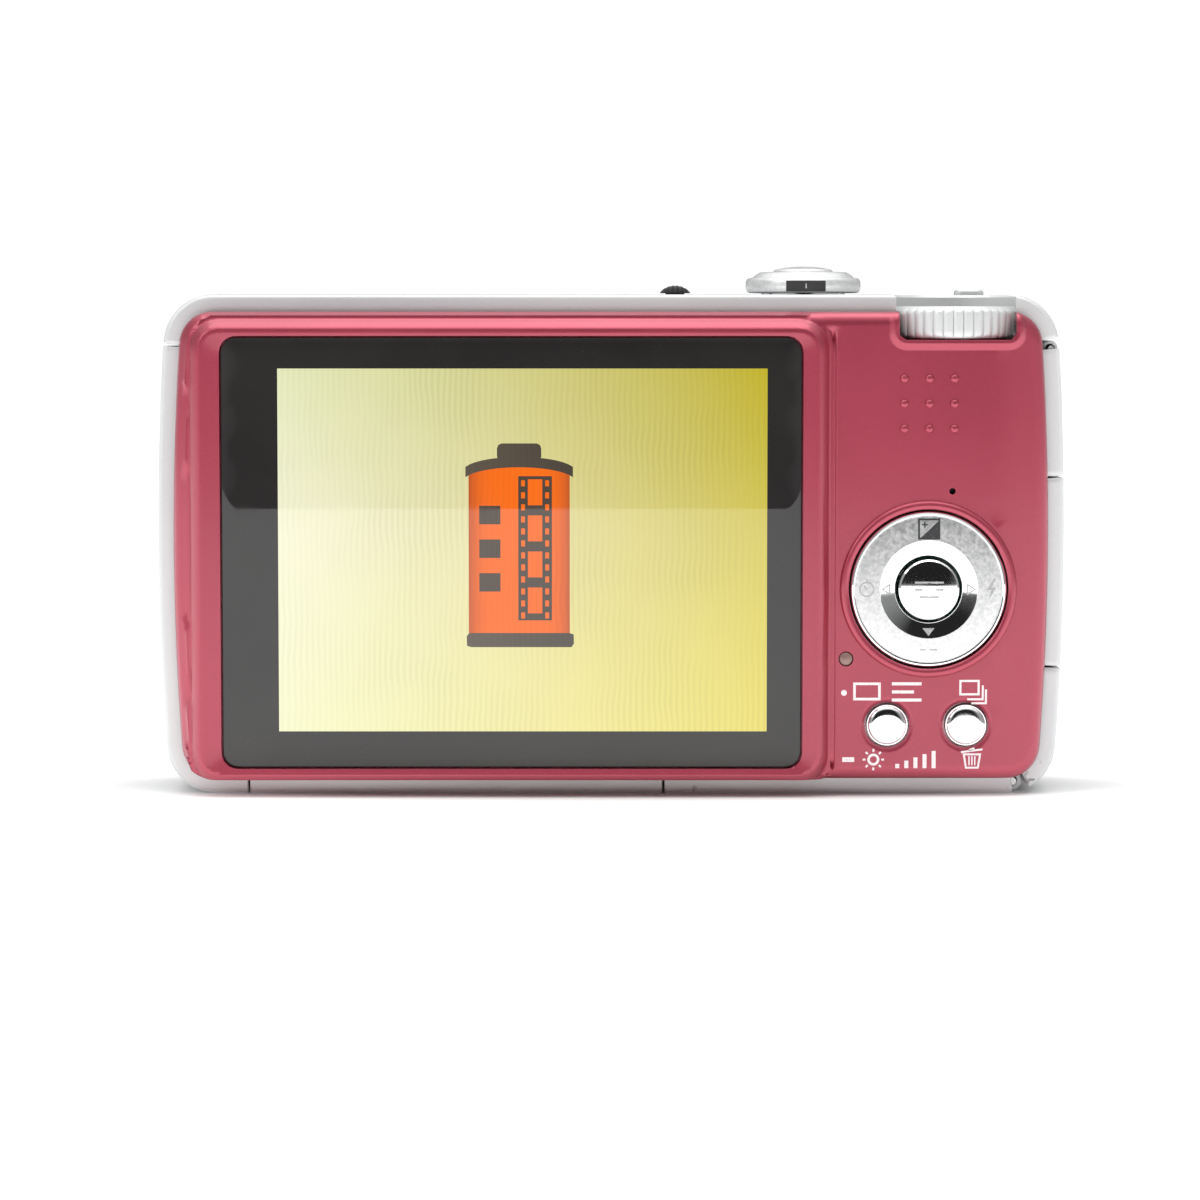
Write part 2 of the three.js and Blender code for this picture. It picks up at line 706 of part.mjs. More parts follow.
function makeZoomAndShutter() {
  const rimTopZ = bodyHeight + zoomRingHeight;
  const coneTopZ = bodyHeight + zoomConeHeight;
  const rim = rodZ(zoomX, bandMidY, bodyHeight + seamGap, rimTopZ, zoomRadius, 32);
  const cone = rodZ(zoomX, bandMidY, rimTopZ, coneTopZ, zoomRadius - 0.7, 32, zoomHubRadius);
  const hub = rodZ(zoomX, bandMidY, topBoardTopZ + 1.4, bodyHeight + seamGap, zoomHubRadius, 24);
  const tab = block(zoomX - zoomTabWidth / 2, zoomX + zoomTabWidth / 2, bandMidY,
    bandMidY + zoomTabReach, bodyHeight + seamGap, rimTopZ);
  const bore = rodZ(zoomX, bandMidY, 0, farAway, shutterRadius + runGap, 24);
  addPiece(controlGroup, 'zoom_ring', rim.add(cone).add(hub).add(tab).subtract(bore), silverPaint);

  const domeTopZ = bodyHeight + shutterProud;
  const stem = rodZ(zoomX, bandMidY, topBoardTopZ + shutterTravel + seamGap, coneTopZ, shutterRadius, 24);
  const dome = rodZ(zoomX, bandMidY, coneTopZ, domeTopZ, shutterRadius, 24, shutterRadius * 0.5);
  addPiece(controlGroup, 'shutter_button', stem.add(dome), silverPaint);
}

function makeTopKeys() {
  const halfLength = sliderLength / 2;
  const halfWidth = sliderWidth / 2;
  const knob = roundedRectangle(sliderX - halfLength, bandMidY - halfWidth, sliderX + halfLength,
    bandMidY + halfWidth, 0.6);
  const neck = block(sliderX - halfLength + sliderNeckInset, sliderX + halfLength - sliderNeckInset,
    bandMidY - sliderNeckHalfWidth, bandMidY + sliderNeckHalfWidth, topInnerZ - 0.5, bodyHeight + seamGap);
  const carriage = block(sliderX - halfLength - 0.4, sliderX + halfLength + 0.4, bandMidY - 2.2,
    bandMidY + 2.2, topInnerZ - 0.9, topInnerZ - 0.3);
  const hump = plateZ(knob, bodyHeight + seamGap, bodyHeight + sliderProud);
  addPiece(controlGroup, 'power_slider', hump.add(neck).add(carriage), blackPlastic);

  const face = roundedRectangle(steadyX - steadyLength / 2, steadyY - steadyWidth / 2,
    steadyX + steadyLength / 2, steadyY + steadyWidth / 2, 0.8);
  const flange = roundedRectangle(steadyX - steadyLength / 2 - 0.3, steadyY - steadyWidth / 2 - 0.3,
    steadyX + steadyLength / 2 + 0.3, steadyY + steadyWidth / 2 + 0.3, 0.8);
  const key = plateZ(face, topInnerZ - 1.4, bodyHeight + steadyProud)
    .add(plateZ(flange, topInnerZ - 0.8, topInnerZ - 0.3));
  addPiece(controlGroup, 'stabiliser_button', key, silverPaint);

  const capsule = rodZ(micX, bandMidY, topInnerZ - 3.6, topInnerZ - 1.2, micRadius, 16);
  addPiece(insideGroup, 'microphone', capsule, bareSteel);
}

// ---------------------------------------------------------------- lens

/** A tube about the lens axis with a lip inside its front end and a flange outside its rear end. */
function barrelTube(radius, rearY, frontY, lipRadius, flangeRadius) {
  const tube = rodY(lensX, lensHeight, rearY, frontY, radius, 36);
  const flange = rodY(lensX, lensHeight, rearY, rearY + 0.8, flangeRadius, 36);
  const bore = rodY(lensX, lensHeight, -farAway, frontY - 0.6, radius - barrelWall, 36);
  const mouth = rodY(lensX, lensHeight, -farAway, farAway, lipRadius, 36);
  return tube.add(flange).subtract(bore).subtract(mouth);
}

/** One barrier blade: a half disc with an arm to its pivot eye, on the upper side of the lens. */
function bladeShape() {
  const shape = new THREE.Shape();
  shape.moveTo(bladeRadius, bladeParting);
  shape.absarc(0, bladeParting, bladeRadius, 0, 0.75 * Math.PI, false);
  shape.lineTo(-bladePivotReach, bladeParting + bladeEyeRadius * 1.6);
  shape.lineTo(-bladePivotReach - bladeEyeRadius, bladeParting + bladeEyeRadius * 0.6);
  shape.lineTo(-bladePivotReach - bladeEyeRadius, bladeParting);
  shape.closePath();
  return shape;
}

const ringRearY = frontFaceY + seamGap;
const outerFrontY = ringFrontY - 0.8;
const middleFrontY = ringFrontY - 0.6;
const innerFrontY = ringFrontY - 0.3;
const bladeFrontY = innerFrontY - 0.8;

function makeBarrels() {
  const outerFlange = outerBarrelRadius + 0.3;
  const outer = barrelTube(outerBarrelRadius, barrelRearY, outerFrontY, middleBarrelRadius + runGap,
    outerFlange);
  addPiece(lensGroup, 'barrel_outer', outer, blackPlastic);

  const middleFlange = outerBarrelRadius - barrelWall - runGap;
  const middle = barrelTube(middleBarrelRadius, barrelRearY - 0.3, middleFrontY,
    innerBarrelRadius + runGap, middleFlange);
  addPiece(lensGroup, 'barrel_middle', middle, silverPaint);

  const tube = rodY(lensX, lensHeight, barrelRearY - 0.6, innerFrontY, innerBarrelRadius, 36);
  const innerFlange = middleBarrelRadius - barrelWall - runGap;
  const flange = rodY(lensX, lensHeight, barrelRearY - 0.6, barrelRearY + 0.2, innerFlange, 36);
  const cavity = rodY(lensX, lensHeight, bladeFrontY - bladeThickness - 0.2, bladeFrontY + 0.2,
    bladeCavityRadius, 36);
  const aperture = rodY(lensX, lensHeight, -farAway, farAway, apertureRadius, 24);
  const lensFrontY = bladeFrontY - bladeThickness - 1.0;
  const bore = rodY(lensX, lensHeight, -farAway, lensFrontY + 0.1, frontLensRadius + seamGap, 24);
  const inner = tube.add(flange).subtract(cavity).subtract(aperture).subtract(bore);
  addPiece(lensGroup, 'barrel_inner', inner, silverPaint);

  const lensBody = rodY(lensX, lensHeight, lensFrontY - 2.6, lensFrontY - 0.8, frontLensRadius, 24);
  const lensDome = rodY(lensX, lensHeight, lensFrontY - 0.8, lensFrontY, frontLensRadius, 24,
    frontLensRadius * 0.75);
  addPiece(lensGroup, 'front_lens', lensBody.add(lensDome), lensGlass);
}

function makeBlades() {
  const thick = plateY(bladeShape(), bladeFrontY - bladeThickness, bladeFrontY, 4);
  const placed = thick.translate([lensX, 0, lensHeight]);
  addPiece(lensGroup, 'barrier_blade_upper', placed, blackPlastic);
  const turned = thick.rotate([0, 180, 0]).translate([lensX, 0, lensHeight]);
  addPiece(lensGroup, 'barrier_blade_lower', turned, blackPlastic);
}

function makeLensMount() {
  const mouth = rodY(lensX, lensHeight, -farAway, farAway, outerBarrelRadius + runGap, 36);
  const skirt = rodY(lensX, lensHeight, ringRearY, ringFrontY - 1.0, ringRadius, 36);
  const chamfer = rodY(lensX, lensHeight, ringFrontY - 1.0, ringFrontY, ringRadius, 36, ringRadius - 1.2);
  addPiece(lensGroup, 'lens_ring', skirt.add(chamfer).subtract(mouth), silverPaint);

  const housingRadius = ringRadius - 1.0 - fitGap;
  const shell = rodY(lensX, lensHeight, housingRearY, frontFaceY, housingRadius, 36);
  const bore = rodY(lensX, lensHeight, housingRearY + 1.0, farAway, outerBarrelRadius + 2 * runGap, 36);
  const window = block(lensX - sensorWidth / 2 + 1, lensX + sensorWidth / 2 - 1, -farAway, farAway,
    lensHeight - sensorHeight / 2 + 1, lensHeight + sensorHeight / 2 - 1);
  addPiece(lensGroup, 'lens_housing', shell.subtract(bore).subtract(window), blackPlastic);

  const sensorRearY = housingRearY + 1.0 + seamGap;
  const sensor = block(lensX - sensorWidth / 2, lensX + sensorWidth / 2, sensorRearY, sensorRearY + 0.9,
    lensHeight - sensorHeight / 2, lensHeight + sensorHeight / 2);
  addPiece(lensGroup, 'image_sensor', sensor, blackGloss);

  const motorX = lensX - housingRadius + 1.0;
  const motorZ = lensHeight + housingRadius - 1.8;
  const motor = rodY(motorX, motorZ, housingRearY, frontInnerY - 2.0, motorRadius, 16);
  addPiece(lensGroup, 'zoom_motor', motor, bareSteel);
}

// ---------------------------------------------------------------- flash and assist lamp

/** The flash window's block, grown by a margin. */
function flashBlock(margin, y0, y1) {
  const left = rightEdge - flashFromRight;
  const high = bodyHeight - flashBelowTop;
  return block(left - margin, left + flashWidth + margin, y0, y1, high - flashHeight - margin, high + margin);
}

function makeFrontFittings() {
  addPiece(frontGroup, 'flash_window', flashBlock(0, frontInnerY + 0.1, frontFaceY), clearPlastic);
  const reflectorFrontY = frontInnerY - 0.2;
  const trough = flashBlock(-0.4, reflectorFrontY - 3.4, reflectorFrontY);
  const hollow = flashBlock(-1.0, reflectorFrontY - 2.6, farAway);
  addPiece(frontGroup, 'flash_reflector', trough.subtract(hollow), bareSteel);
  const left = rightEdge - flashFromRight;
  const tube = rodX(reflectorFrontY - 1.3, bodyHeight - flashBelowTop - flashHeight / 2,
    left + 1.3, left + flashWidth - 1.3, 0.8, 12);
  addPiece(frontGroup, 'flash_tube', tube, clearPlastic);
  const lamp = rodY(rightEdge - assistFromRight, bodyHeight - assistBelowTop, frontInnerY - 1.2,
    frontFaceY - 0.1, assistRadius, 16);
  addPiece(frontGroup, 'assist_lamp', lamp, amberLamp);
}

// ---------------------------------------------------------------- battery, card and their bay

function makeBattery() {
  const batteryRight = batteryLeft + batteryWidth;
  const low = bayBottomZ + 0.1;
  const pack = block(batteryLeft, batteryRight, batteryRearY, batteryFrontY, low, low + batteryHeight);
  addPiece(powerGroup, 'battery', pack, wrapGrey);

  const cardLeft = batteryLeft + (batteryWidth - cardWidth) / 2;
  const card = block(cardLeft, cardLeft + cardWidth, cardFrontY - cardThickness, cardFrontY, low,
    low + cardHeight);
  addPiece(powerGroup, 'memory_card', card, wrapGrey);

  const around = fitGap + bayWall;
  const outer = block(batteryLeft - around, batteryRight + around, cardFrontY - cardThickness - around,
    batteryFrontY + around, bayBottomZ, low + batteryHeight + around);
  const batteryPocket = block(batteryLeft - fitGap, batteryRight + fitGap, batteryRearY - fitGap,
    batteryFrontY + fitGap, 0, low + batteryHeight + fitGap);
  const cardPocket = block(cardLeft - fitGap, cardLeft + cardWidth + fitGap,
    cardFrontY - cardThickness - fitGap, cardFrontY + fitGap, 0, low + cardHeight + fitGap);
  addPiece(powerGroup, 'battery_bay', outer.subtract(batteryPocket).subtract(cardPocket), blackPlastic);
}

// ---------------------------------------------------------------- doors

const leverX = doorLeft + leverFromFreeEnd;

function makeBatteryDoor(ring) {
  const flat = ring.intersect(block(doorLeft + seamGap, doorPinX, -farAway, farAway, -1, midHeight));
  const knuckle = rodY(doorPinX, doorPinZ, bandRearY + 1.5, bandFrontY - 1.5, doorKnuckleRadius, 16);
  const bore = rodY(doorPinX, doorPinZ, -farAway, farAway, hingePinRadius + 0.2, 12);
  const slot = block(leverX - leverLength / 2 - seamGap, leverX + leverLength / 2 + leverTravel + seamGap,
    bandMidY - leverWidth / 2 - seamGap, bandMidY + leverWidth / 2 + seamGap, -1, midHeight);
  addPiece(powerGroup, 'battery_door', flat.add(knuckle).subtract(bore).subtract(slot), silverPaint);

  const pin = rodY(doorPinX, doorPinZ, bandRearY + 0.5, bandFrontY - 0.5, hingePinRadius, 12);
  addPiece(powerGroup, 'battery_door_pin', pin, bareSteel);

  const thumb = block(leverX - leverLength / 2, leverX + leverLength / 2, bandMidY - leverWidth / 2,
    bandMidY + leverWidth / 2, 0.2, bandWall + 0.3);
  const plate = block(leverX - leverLength / 2 - 1, leverX + leverLength / 2 + 1,
    bandMidY - leverWidth / 2 - 1, bandMidY + leverWidth / 2 + 1, bandWall + 0.3, bandWall + 0.9);
  addPiece(powerGroup, 'release_lever', thumb.add(plate), blackPlastic);
}

function makeTerminalDoor(ring) {
  const flat = ring.intersect(block(0, farAway, -farAway, farAway, strapPlateTop + seamGap, terminalPinZ));
  const knuckle = rodY(terminalPinX, terminalPinZ, bandRearY + 1.5, bandFrontY - 1.5,
    terminalKnuckleRadius, 16);
  const bore = rodY(terminalPinX, terminalPinZ, -farAway, farAway, terminalPinRadius + 0.2, 12);
  addPiece(powerGroup, 'terminal_door', flat.add(knuckle).subtract(bore), silverPaint);

  const pin = rodY(terminalPinX, terminalPinZ, bandRearY + 0.5, bandFrontY - 0.5, terminalPinRadius, 12);
  addPiece(powerGroup, 'terminal_door_pin', pin, bareSteel);

  const faceX = rightEdge - bandWall - 1.8;
  const low = strapPlateTop + 1.6;
  const socket = block(faceX - 3.2, faceX, bandMidY - 3.6, bandMidY + 3.6, low, low + 8.4);
  const port = block(faceX - 2.6, farAway, bandMidY - 1.3, bandMidY + 1.3, low + 1.0, low + 7.4);
  addPiece(powerGroup, 'terminal_socket', socket.subtract(port), blackPlastic);
}

// ---------------------------------------------------------------- base fittings

function makeBaseFittings() {
  const insert = rodZ(socketX, bandMidY, 0, socketDepth + socketRoof, socketRadius, 24);
  const bore = rodZ(socketX, bandMidY, -1, socketDepth, socketBore, 16);
  addPiece(insideGroup, 'tripod_socket', insert.subtract(bore), bareSteel);

  const speaker = rodZ(speakerX, bandMidY, bandWall + 0.4, bandWall + 2.9, speakerRadius, 24);
  addPiece(insideGroup, 'speaker', speaker, blackPlastic);
}

// ---------------------------------------------------------------- boards and frame

function makeBoards() {
  const left = leftEdge + 4.5;
  const right = rightEdge - 4.5;
  const low = 3.2;
  const high = topBoardTopZ - boardThickness - 0.6;
  const sheet = block(left, right, chassisRearY, chassisRearY + chassisThickness, low, high);
  const relief = block(padX - 6, padX + 6, -farAway, farAway, keyHeight - 3, padHeight + 10);
  addPiece(insideGroup, 'chassis', sheet.subtract(relief), bareSteel);

  const boardLow = socketDepth + socketRoof + fitGap;
  const board = block(left + 0.5, batteryLeft - 1.6, boardRearY, boardFrontY, boardLow, high - 0.5);
  addPiece(insideGroup, 'main_board', board, boardGreen);

  const keys = block(padX - 9.2, padX + 9.8, switchBoardRearY, switchBoardRearY + 0.6, low, padHeight + 9.0);
  addPiece(insideGroup, 'switch_board', keys, boardGreen);

  const top = block(doorLeft - 6, rightEdge - 4.2, bandRearY + 2.4, bandFrontY - 1.4,
    topBoardTopZ - boardThickness, topBoardTopZ);
  addPiece(insideGroup, 'top_board', top, boardGreen);

  const screwEndX = -sideReach(lowScrewHeight) + screwSink + screwLength;
  const capacitorX = screwEndX + fitGap + capacitorRadius;
  const capacitor = rodZ(capacitorX, bandMidY + 1.0, capacitorLow, capacitorLow + capacitorLength,
    capacitorRadius, 20);
  addPiece(insideGroup, 'flash_capacitor', capacitor, wrapGrey);
}

// ---------------------------------------------------------------- assembly

const ring = bandRing();
const holes = screwHoles();
makeRearCover();
makeFrontCover();
makeTopCover(ring);
makeLowerBand(ring, holes);
makeScrews();
makeScreen();
makeRearKeys();
makeDial();
makeZoomAndShutter();
makeTopKeys();
makeBarrels();
makeBlades();
makeLensMount();
makeFrontFittings();
makeBattery();
makeBatteryDoor(ring);
makeTerminalDoor(ring);
makeBaseFittings();
makeBoards();

export default camera;
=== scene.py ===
"""Compact digital camera, standing on a pale table with its screen lit.

Each section below is one piece, or one group of like pieces, in the order in which the camera is put
together. Shapes are worked out in millimetres and turned into metres when a piece's mesh is made.
"""

import math

import bmesh
import bpy
import numpy as np
from mathutils.geometry import delaunay_2d_cdt
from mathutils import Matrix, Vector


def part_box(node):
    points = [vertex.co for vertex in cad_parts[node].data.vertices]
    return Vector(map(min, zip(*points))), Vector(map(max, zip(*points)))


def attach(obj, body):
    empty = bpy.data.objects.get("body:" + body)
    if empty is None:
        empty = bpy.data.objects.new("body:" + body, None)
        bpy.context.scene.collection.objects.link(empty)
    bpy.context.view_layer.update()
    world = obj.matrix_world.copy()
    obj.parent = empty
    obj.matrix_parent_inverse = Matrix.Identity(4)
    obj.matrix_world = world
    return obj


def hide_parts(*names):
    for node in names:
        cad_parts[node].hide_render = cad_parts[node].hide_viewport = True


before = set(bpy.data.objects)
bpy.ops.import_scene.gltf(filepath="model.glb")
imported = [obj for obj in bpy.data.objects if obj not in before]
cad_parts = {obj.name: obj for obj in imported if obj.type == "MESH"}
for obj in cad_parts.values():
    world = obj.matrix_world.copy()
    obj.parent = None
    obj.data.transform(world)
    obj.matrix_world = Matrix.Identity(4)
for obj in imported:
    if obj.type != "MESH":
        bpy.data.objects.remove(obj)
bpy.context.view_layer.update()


# ---------------------------------------------------------------- studio
# A pale table top that ends a little in front of the camera body, under a bright ceiling. The room
# beyond the table's front edge is dark, so glossy faces show a bright lower and a dark upper part.

VIEW_DISTANCE = 0.40
VIEW_TILT = math.radians(4.0)
VIEW_ASIDE = -0.00116
VIEW_HEIGHT = 0.02070
VIEW_WIDTH = 0.12466
SENSOR = 36.0
TABLE_FRONT = -0.665


def make_studio_camera():
    """A long lens a little above the middle of the body, looking slightly down at its back."""
    data = bpy.data.cameras.new("studio_camera")
    data.sensor_width = SENSOR
    data.lens = SENSOR * VIEW_DISTANCE / VIEW_WIDTH
    data.clip_start = 0.01
    data.clip_end = 10.0
    camera = bpy.data.objects.new("studio_camera", data)
    bpy.context.collection.objects.link(camera)
    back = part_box("rear_cover")[0].y
    camera.location = (VIEW_ASIDE, back - VIEW_DISTANCE * math.cos(VIEW_TILT),
                       VIEW_HEIGHT + VIEW_DISTANCE * math.sin(VIEW_TILT))
    camera.rotation_euler = (math.pi / 2 - VIEW_TILT, 0.0, 0.0)
    bpy.context.scene.camera = camera


def make_table():
    """A flat white sheet under the camera body, cut off at its front edge. It carries painted light: an
    emission glow that fades out in an oval close to the body, so the table is painted darker round the body,
    where the contact shadow shows."""
    mesh = bpy.data.meshes.new("table_top")
    half_width = 2.0
    back = 2.0
    corners = [(-half_width, TABLE_FRONT, 0), (half_width, TABLE_FRONT, 0),
               (half_width, back, 0), (-half_width, back, 0)]
    mesh.from_pydata(corners, [], [(0, 1, 2, 3)])
    table = bpy.data.objects.new("table_top", mesh)
    bpy.context.collection.objects.link(table)
    material = bpy.data.materials.new("table_white_painted_glow")
    material.use_nodes = True
    tree = material.node_tree
    shader = tree.nodes["Principled BSDF"]
    shader.inputs["Base Color"].default_value = (0.8, 0.8, 0.8, 1)
    shader.inputs["Roughness"].default_value = 0.9
    place = tree.nodes.new("ShaderNodeTexCoord")
    footprint = tree.nodes.new("ShaderNodeVectorMath")
    footprint.operation = "DIVIDE"
    footprint.inputs[1].default_value = (0.047, 0.011, 1.0)
    tree.links.new(place.outputs["Object"], footprint.inputs[0])
    reach = tree.nodes.new("ShaderNodeVectorMath")
    reach.operation = "LENGTH"
    tree.links.new(footprint.outputs[0], reach.inputs[0])
    # Painted light: emission that is zero close to the body and rises outwards, painting the table darker
    # round the body.
    painted_glow = tree.nodes.new("ShaderNodeMapRange")
    painted_glow.interpolation_type = "SMOOTHSTEP"
    painted_glow.inputs["From Min"].default_value = 0.9
    painted_glow.inputs["From Max"].default_value = 1.9
    painted_glow.inputs["To Max"].default_value = 0.85
    tree.links.new(reach.outputs["Value"], painted_glow.inputs["Value"])
    tree.links.new(painted_glow.outputs[0], shader.inputs["Emission Color"])
    shader.inputs["Emission Strength"].default_value = 1.0
    mesh.materials.append(material)


def add_softbox(name, place, aim, size, power):
    """A rectangular area light that faces a point."""
    data = bpy.data.lights.new(name, "AREA")
    data.shape = "RECTANGLE"
    data.size = size[0]
    data.size_y = size[1]
    data.energy = power
    light = bpy.data.objects.new(name, data)
    bpy.context.collection.objects.link(light)
    light.location = place
    direction = np.array(aim) - np.array(place)
    from_z = math.atan2(math.hypot(direction[0], direction[1]), -direction[2])
    light.rotation_euler = (from_z, 0, math.atan2(direction[0], -direction[1]) + math.pi)
    return light


def make_room():
    """White where the lens looks at it; elsewhere bright overhead, grey at both sides, and dark low down in
    front of and behind the camera body."""
    world = bpy.data.worlds.new("room")
    bpy.context.scene.world = world
    world.use_nodes = True
    nodes = world.node_tree.nodes
    links = world.node_tree.links
    nodes.clear()
    direction = nodes.new("ShaderNodeTexCoord")
    split = nodes.new("ShaderNodeSeparateXYZ")
    links.new(direction.outputs["Generated"], split.inputs[0])
    height = nodes.new("ShaderNodeMapRange")
    height.inputs["From Min"].default_value = -1.0
    height.inputs["From Max"].default_value = 1.0
    links.new(split.outputs["Z"], height.inputs["Value"])
    ramp = nodes.new("ShaderNodeValToRGB")
    stops = [(0.0, 0.25), (0.46, 0.15), (0.485, 0.012), (0.70, 0.016), (0.76, 0.32), (0.86, 0.75), (1.0, 1.0)]
    while len(ramp.color_ramp.elements) < len(stops):
        ramp.color_ramp.elements.new(0.5)
    for element, (place, value) in zip(ramp.color_ramp.elements, stops):
        element.position = place
        element.color = (value, value, value, 1)
    links.new(height.outputs[0], ramp.inputs["Fac"])
    aside = nodes.new("ShaderNodeMath")
    aside.operation = "ABSOLUTE"
    links.new(split.outputs["X"], aside.inputs[0])
    walls = nodes.new("ShaderNodeMapRange")
    walls.inputs["From Min"].default_value = 0.25
    walls.inputs["From Max"].default_value = 0.55
    walls.inputs["To Max"].default_value = 0.30
    links.new(aside.outputs[0], walls.inputs["Value"])
    lifted = nodes.new("ShaderNodeMix")
    lifted.data_type = "RGBA"
    lifted.blend_type = "LIGHTEN"
    lifted.inputs[0].default_value = 1.0
    links.new(ramp.outputs["Color"], lifted.inputs[6])
    links.new(walls.outputs[0], lifted.inputs[7])
    room = nodes.new("ShaderNodeBackground")
    room.inputs["Strength"].default_value = 1.3
    links.new(lifted.outputs[2], room.inputs["Color"])
    backdrop = nodes.new("ShaderNodeBackground")
    backdrop.inputs["Color"].default_value = (1, 1, 1, 1)
    backdrop.inputs["Strength"].default_value = 1.05
    path = nodes.new("ShaderNodeLightPath")
    mix = nodes.new("ShaderNodeMixShader")
    links.new(path.outputs["Is Camera Ray"], mix.inputs["Fac"])
    links.new(room.outputs[0], mix.inputs[1])
    links.new(backdrop.outputs[0], mix.inputs[2])
    output = nodes.new("ShaderNodeOutputWorld")
    links.new(mix.outputs[0], output.inputs["Surface"])


make_studio_camera()
make_table()
make_room()
add_softbox("ceiling_softbox", (0.0, -0.05, 0.9), (0, 0, 0), (0.9, 0.7), 4.0)
add_softbox("left_softbox", (-0.7, -0.5, 0.55), (0, 0, 0.02), (0.4, 0.4), 1.2)
bpy.context.scene.view_settings.view_transform = "Standard"


# ---------------------------------------------------------------- rear cover
# Thin pressed aluminium, sprayed metallic rose red. Its raised frame carries the screen window, and
# it is screwed to the chassis from the sides, with the keys standing through its holes.

MM = 0.001
BULGE_RADIUS = 300.0
BODY_CORNER = 5.3
EDGE_SNAP = 0.005


def box_mm(node):
    """A CAD node's lowest and highest corner in millimetres."""
    low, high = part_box(node)
    return np.array(low) / MM, np.array(high) / MM


REAR = box_mm("rear_cover")
FRONT = box_mm("front_cover")
HALF_WIDTH = box_mm("left_band")[0][0] * -1
HEIGHT = box_mm("top_cover")[1][2]
MID = HEIGHT / 2
COVER_INSET = HALF_WIDTH - REAR[1][0]


def resample(points, normals, step):
    """Evenly spaced points on a path, by linear interpolation along its length."""
    steps = np.r_[0, np.cumsum(np.linalg.norm(np.diff(points, axis=0), axis=1))]
    count = max(2, int(round(steps[-1] / step)) + 1)
    at = np.linspace(0, steps[-1], count)
    new = np.stack([np.interp(at, steps, points[:, k]) for k in (0, 1)], axis=1)
    turned = np.stack([np.interp(at, steps, normals[:, k]) for k in (0, 1)], axis=1)
    return new, turned / np.linalg.norm(turned, axis=1, keepdims=True)


def arc(centre, radius, start, end, count):
    """Points on an arc and the unit vectors from its centre: centre plus radius times (cos, sin)."""
    angle = np.linspace(start, end, count)
    normal = np.stack([np.cos(angle), np.sin(angle)], axis=1)
    return np.array(centre) + radius * normal, normal


def body_path():
    """The body's outline seen from behind, anticlockwise from the middle of the base: straight top and
    base, side arcs of a large radius, and corner arcs that touch both."""
    bulge = HALF_WIDTH - BULGE_RADIUS
    rise = MID - BODY_CORNER
    corner_x = bulge + math.sqrt((BULGE_RADIUS - BODY_CORNER) ** 2 - rise ** 2)
    turn = math.atan2(rise, corner_x - bulge)
    half_pi = math.pi / 2
    runs = [
        arc((corner_x, MID - rise), BODY_CORNER, -half_pi, -turn, 40),
        arc((bulge, MID), BULGE_RADIUS, -turn, turn, 80),
        arc((corner_x, MID + rise), BODY_CORNER, turn, half_pi, 40),
        arc((-corner_x, MID + rise), BODY_CORNER, half_pi, math.pi - turn, 40),
        arc((-bulge, MID), BULGE_RADIUS, math.pi - turn, math.pi + turn, 80),
        arc((-corner_x, MID - rise), BODY_CORNER, math.pi + turn, 1.5 * math.pi, 40),
    ]
    start = (np.array([[0.0, 0.0]]), np.array([[0.0, -1.0]]))
    points = np.concatenate([start[0]] + [run[0] for run in runs] + [start[0]])
    normals = np.concatenate([start[1]] + [run[1] for run in runs] + [start[1]])
    return points, normals


BODY_PATH = body_path()


def body_loop(inset, step=0.8):
    """One closed loop of the body's outline, drawn in by an inset."""
    points, normals = resample(*BODY_PATH, step)
    return (points - inset * normals)[:-1]


def rounded_rectangle(low, high, radius, step=0.6):
    """A closed loop round a rectangle with arcs at its corners, and its outward normals."""
    runs = []
    centres = [(high[0] - radius, low[1] + radius), (high[0] - radius, high[1] - radius),
               (low[0] + radius, high[1] - radius), (low[0] + radius, low[1] + radius)]
    for index, centre in enumerate(centres):
        start = (index - 1) * math.pi / 2
        runs.append(arc(centre, radius, start, start + math.pi / 2, 24))
    points = np.concatenate([run[0] for run in runs] + [runs[0][0][:1]])
    normals = np.concatenate([run[1] for run in runs] + [runs[0][1][:1]])
    points, normals = resample(points, normals, step)
    return points[:-1], normals[:-1]


def circle(centre, radius, count=64):
    """A closed loop round a circle."""
    return arc(centre, radius, 0, 2 * math.pi, count + 1)[0][:-1]


def rectangle_distance(x, z, low, high, radius):
    """Signed distance to a rounded rectangle: negative inside, positive outside."""
    centre = (np.array(low) + np.array(high)) / 2
    half = (np.array(high) - np.array(low)) / 2 - radius
    dx = np.abs(x - centre[0]) - half[0]
    dz = np.abs(z - centre[1]) - half[1]
    outside = np.hypot(np.maximum(dx, 0), np.maximum(dz, 0))
    return outside + np.minimum(np.maximum(dx, dz), 0) - radius


def body_depth(x, z):
    """Distance inside the body's outline: to the nearest of its sides, top, base and corner arcs."""
    bulge = HALF_WIDTH - BULGE_RADIUS
    rise = MID - BODY_CORNER
    corner_x = bulge + math.sqrt((BULGE_RADIUS - BODY_CORNER) ** 2 - rise ** 2)
    across = np.abs(x)
    up = np.abs(z - MID)
    side = BULGE_RADIUS - np.hypot(across - bulge, up)
    depth = np.minimum(side, MID - up)
    in_corner = (up > rise) & (across > corner_x)
    corner = BODY_CORNER - np.hypot(across - corner_x, up - rise)
    return np.where(in_corner, corner, depth)


def inside(points, loop):
    """Which points lie in a closed loop, by counting the loop's edges to the right of each point."""
    x = points[:, 0][:, None]
    z = points[:, 1][:, None]
    x0, z0 = loop[:, 0], loop[:, 1]
    x1, z1 = np.roll(x0, -1), np.roll(z0, -1)
    crosses = (z0 > z) != (z1 > z)
    span = np.where(z1 == z0, 1e-12, z1 - z0)
    reach = (z - z0) * (x1 - x0) / span + x0
    return (np.sum(crosses & (x < reach), axis=1) % 2) == 1


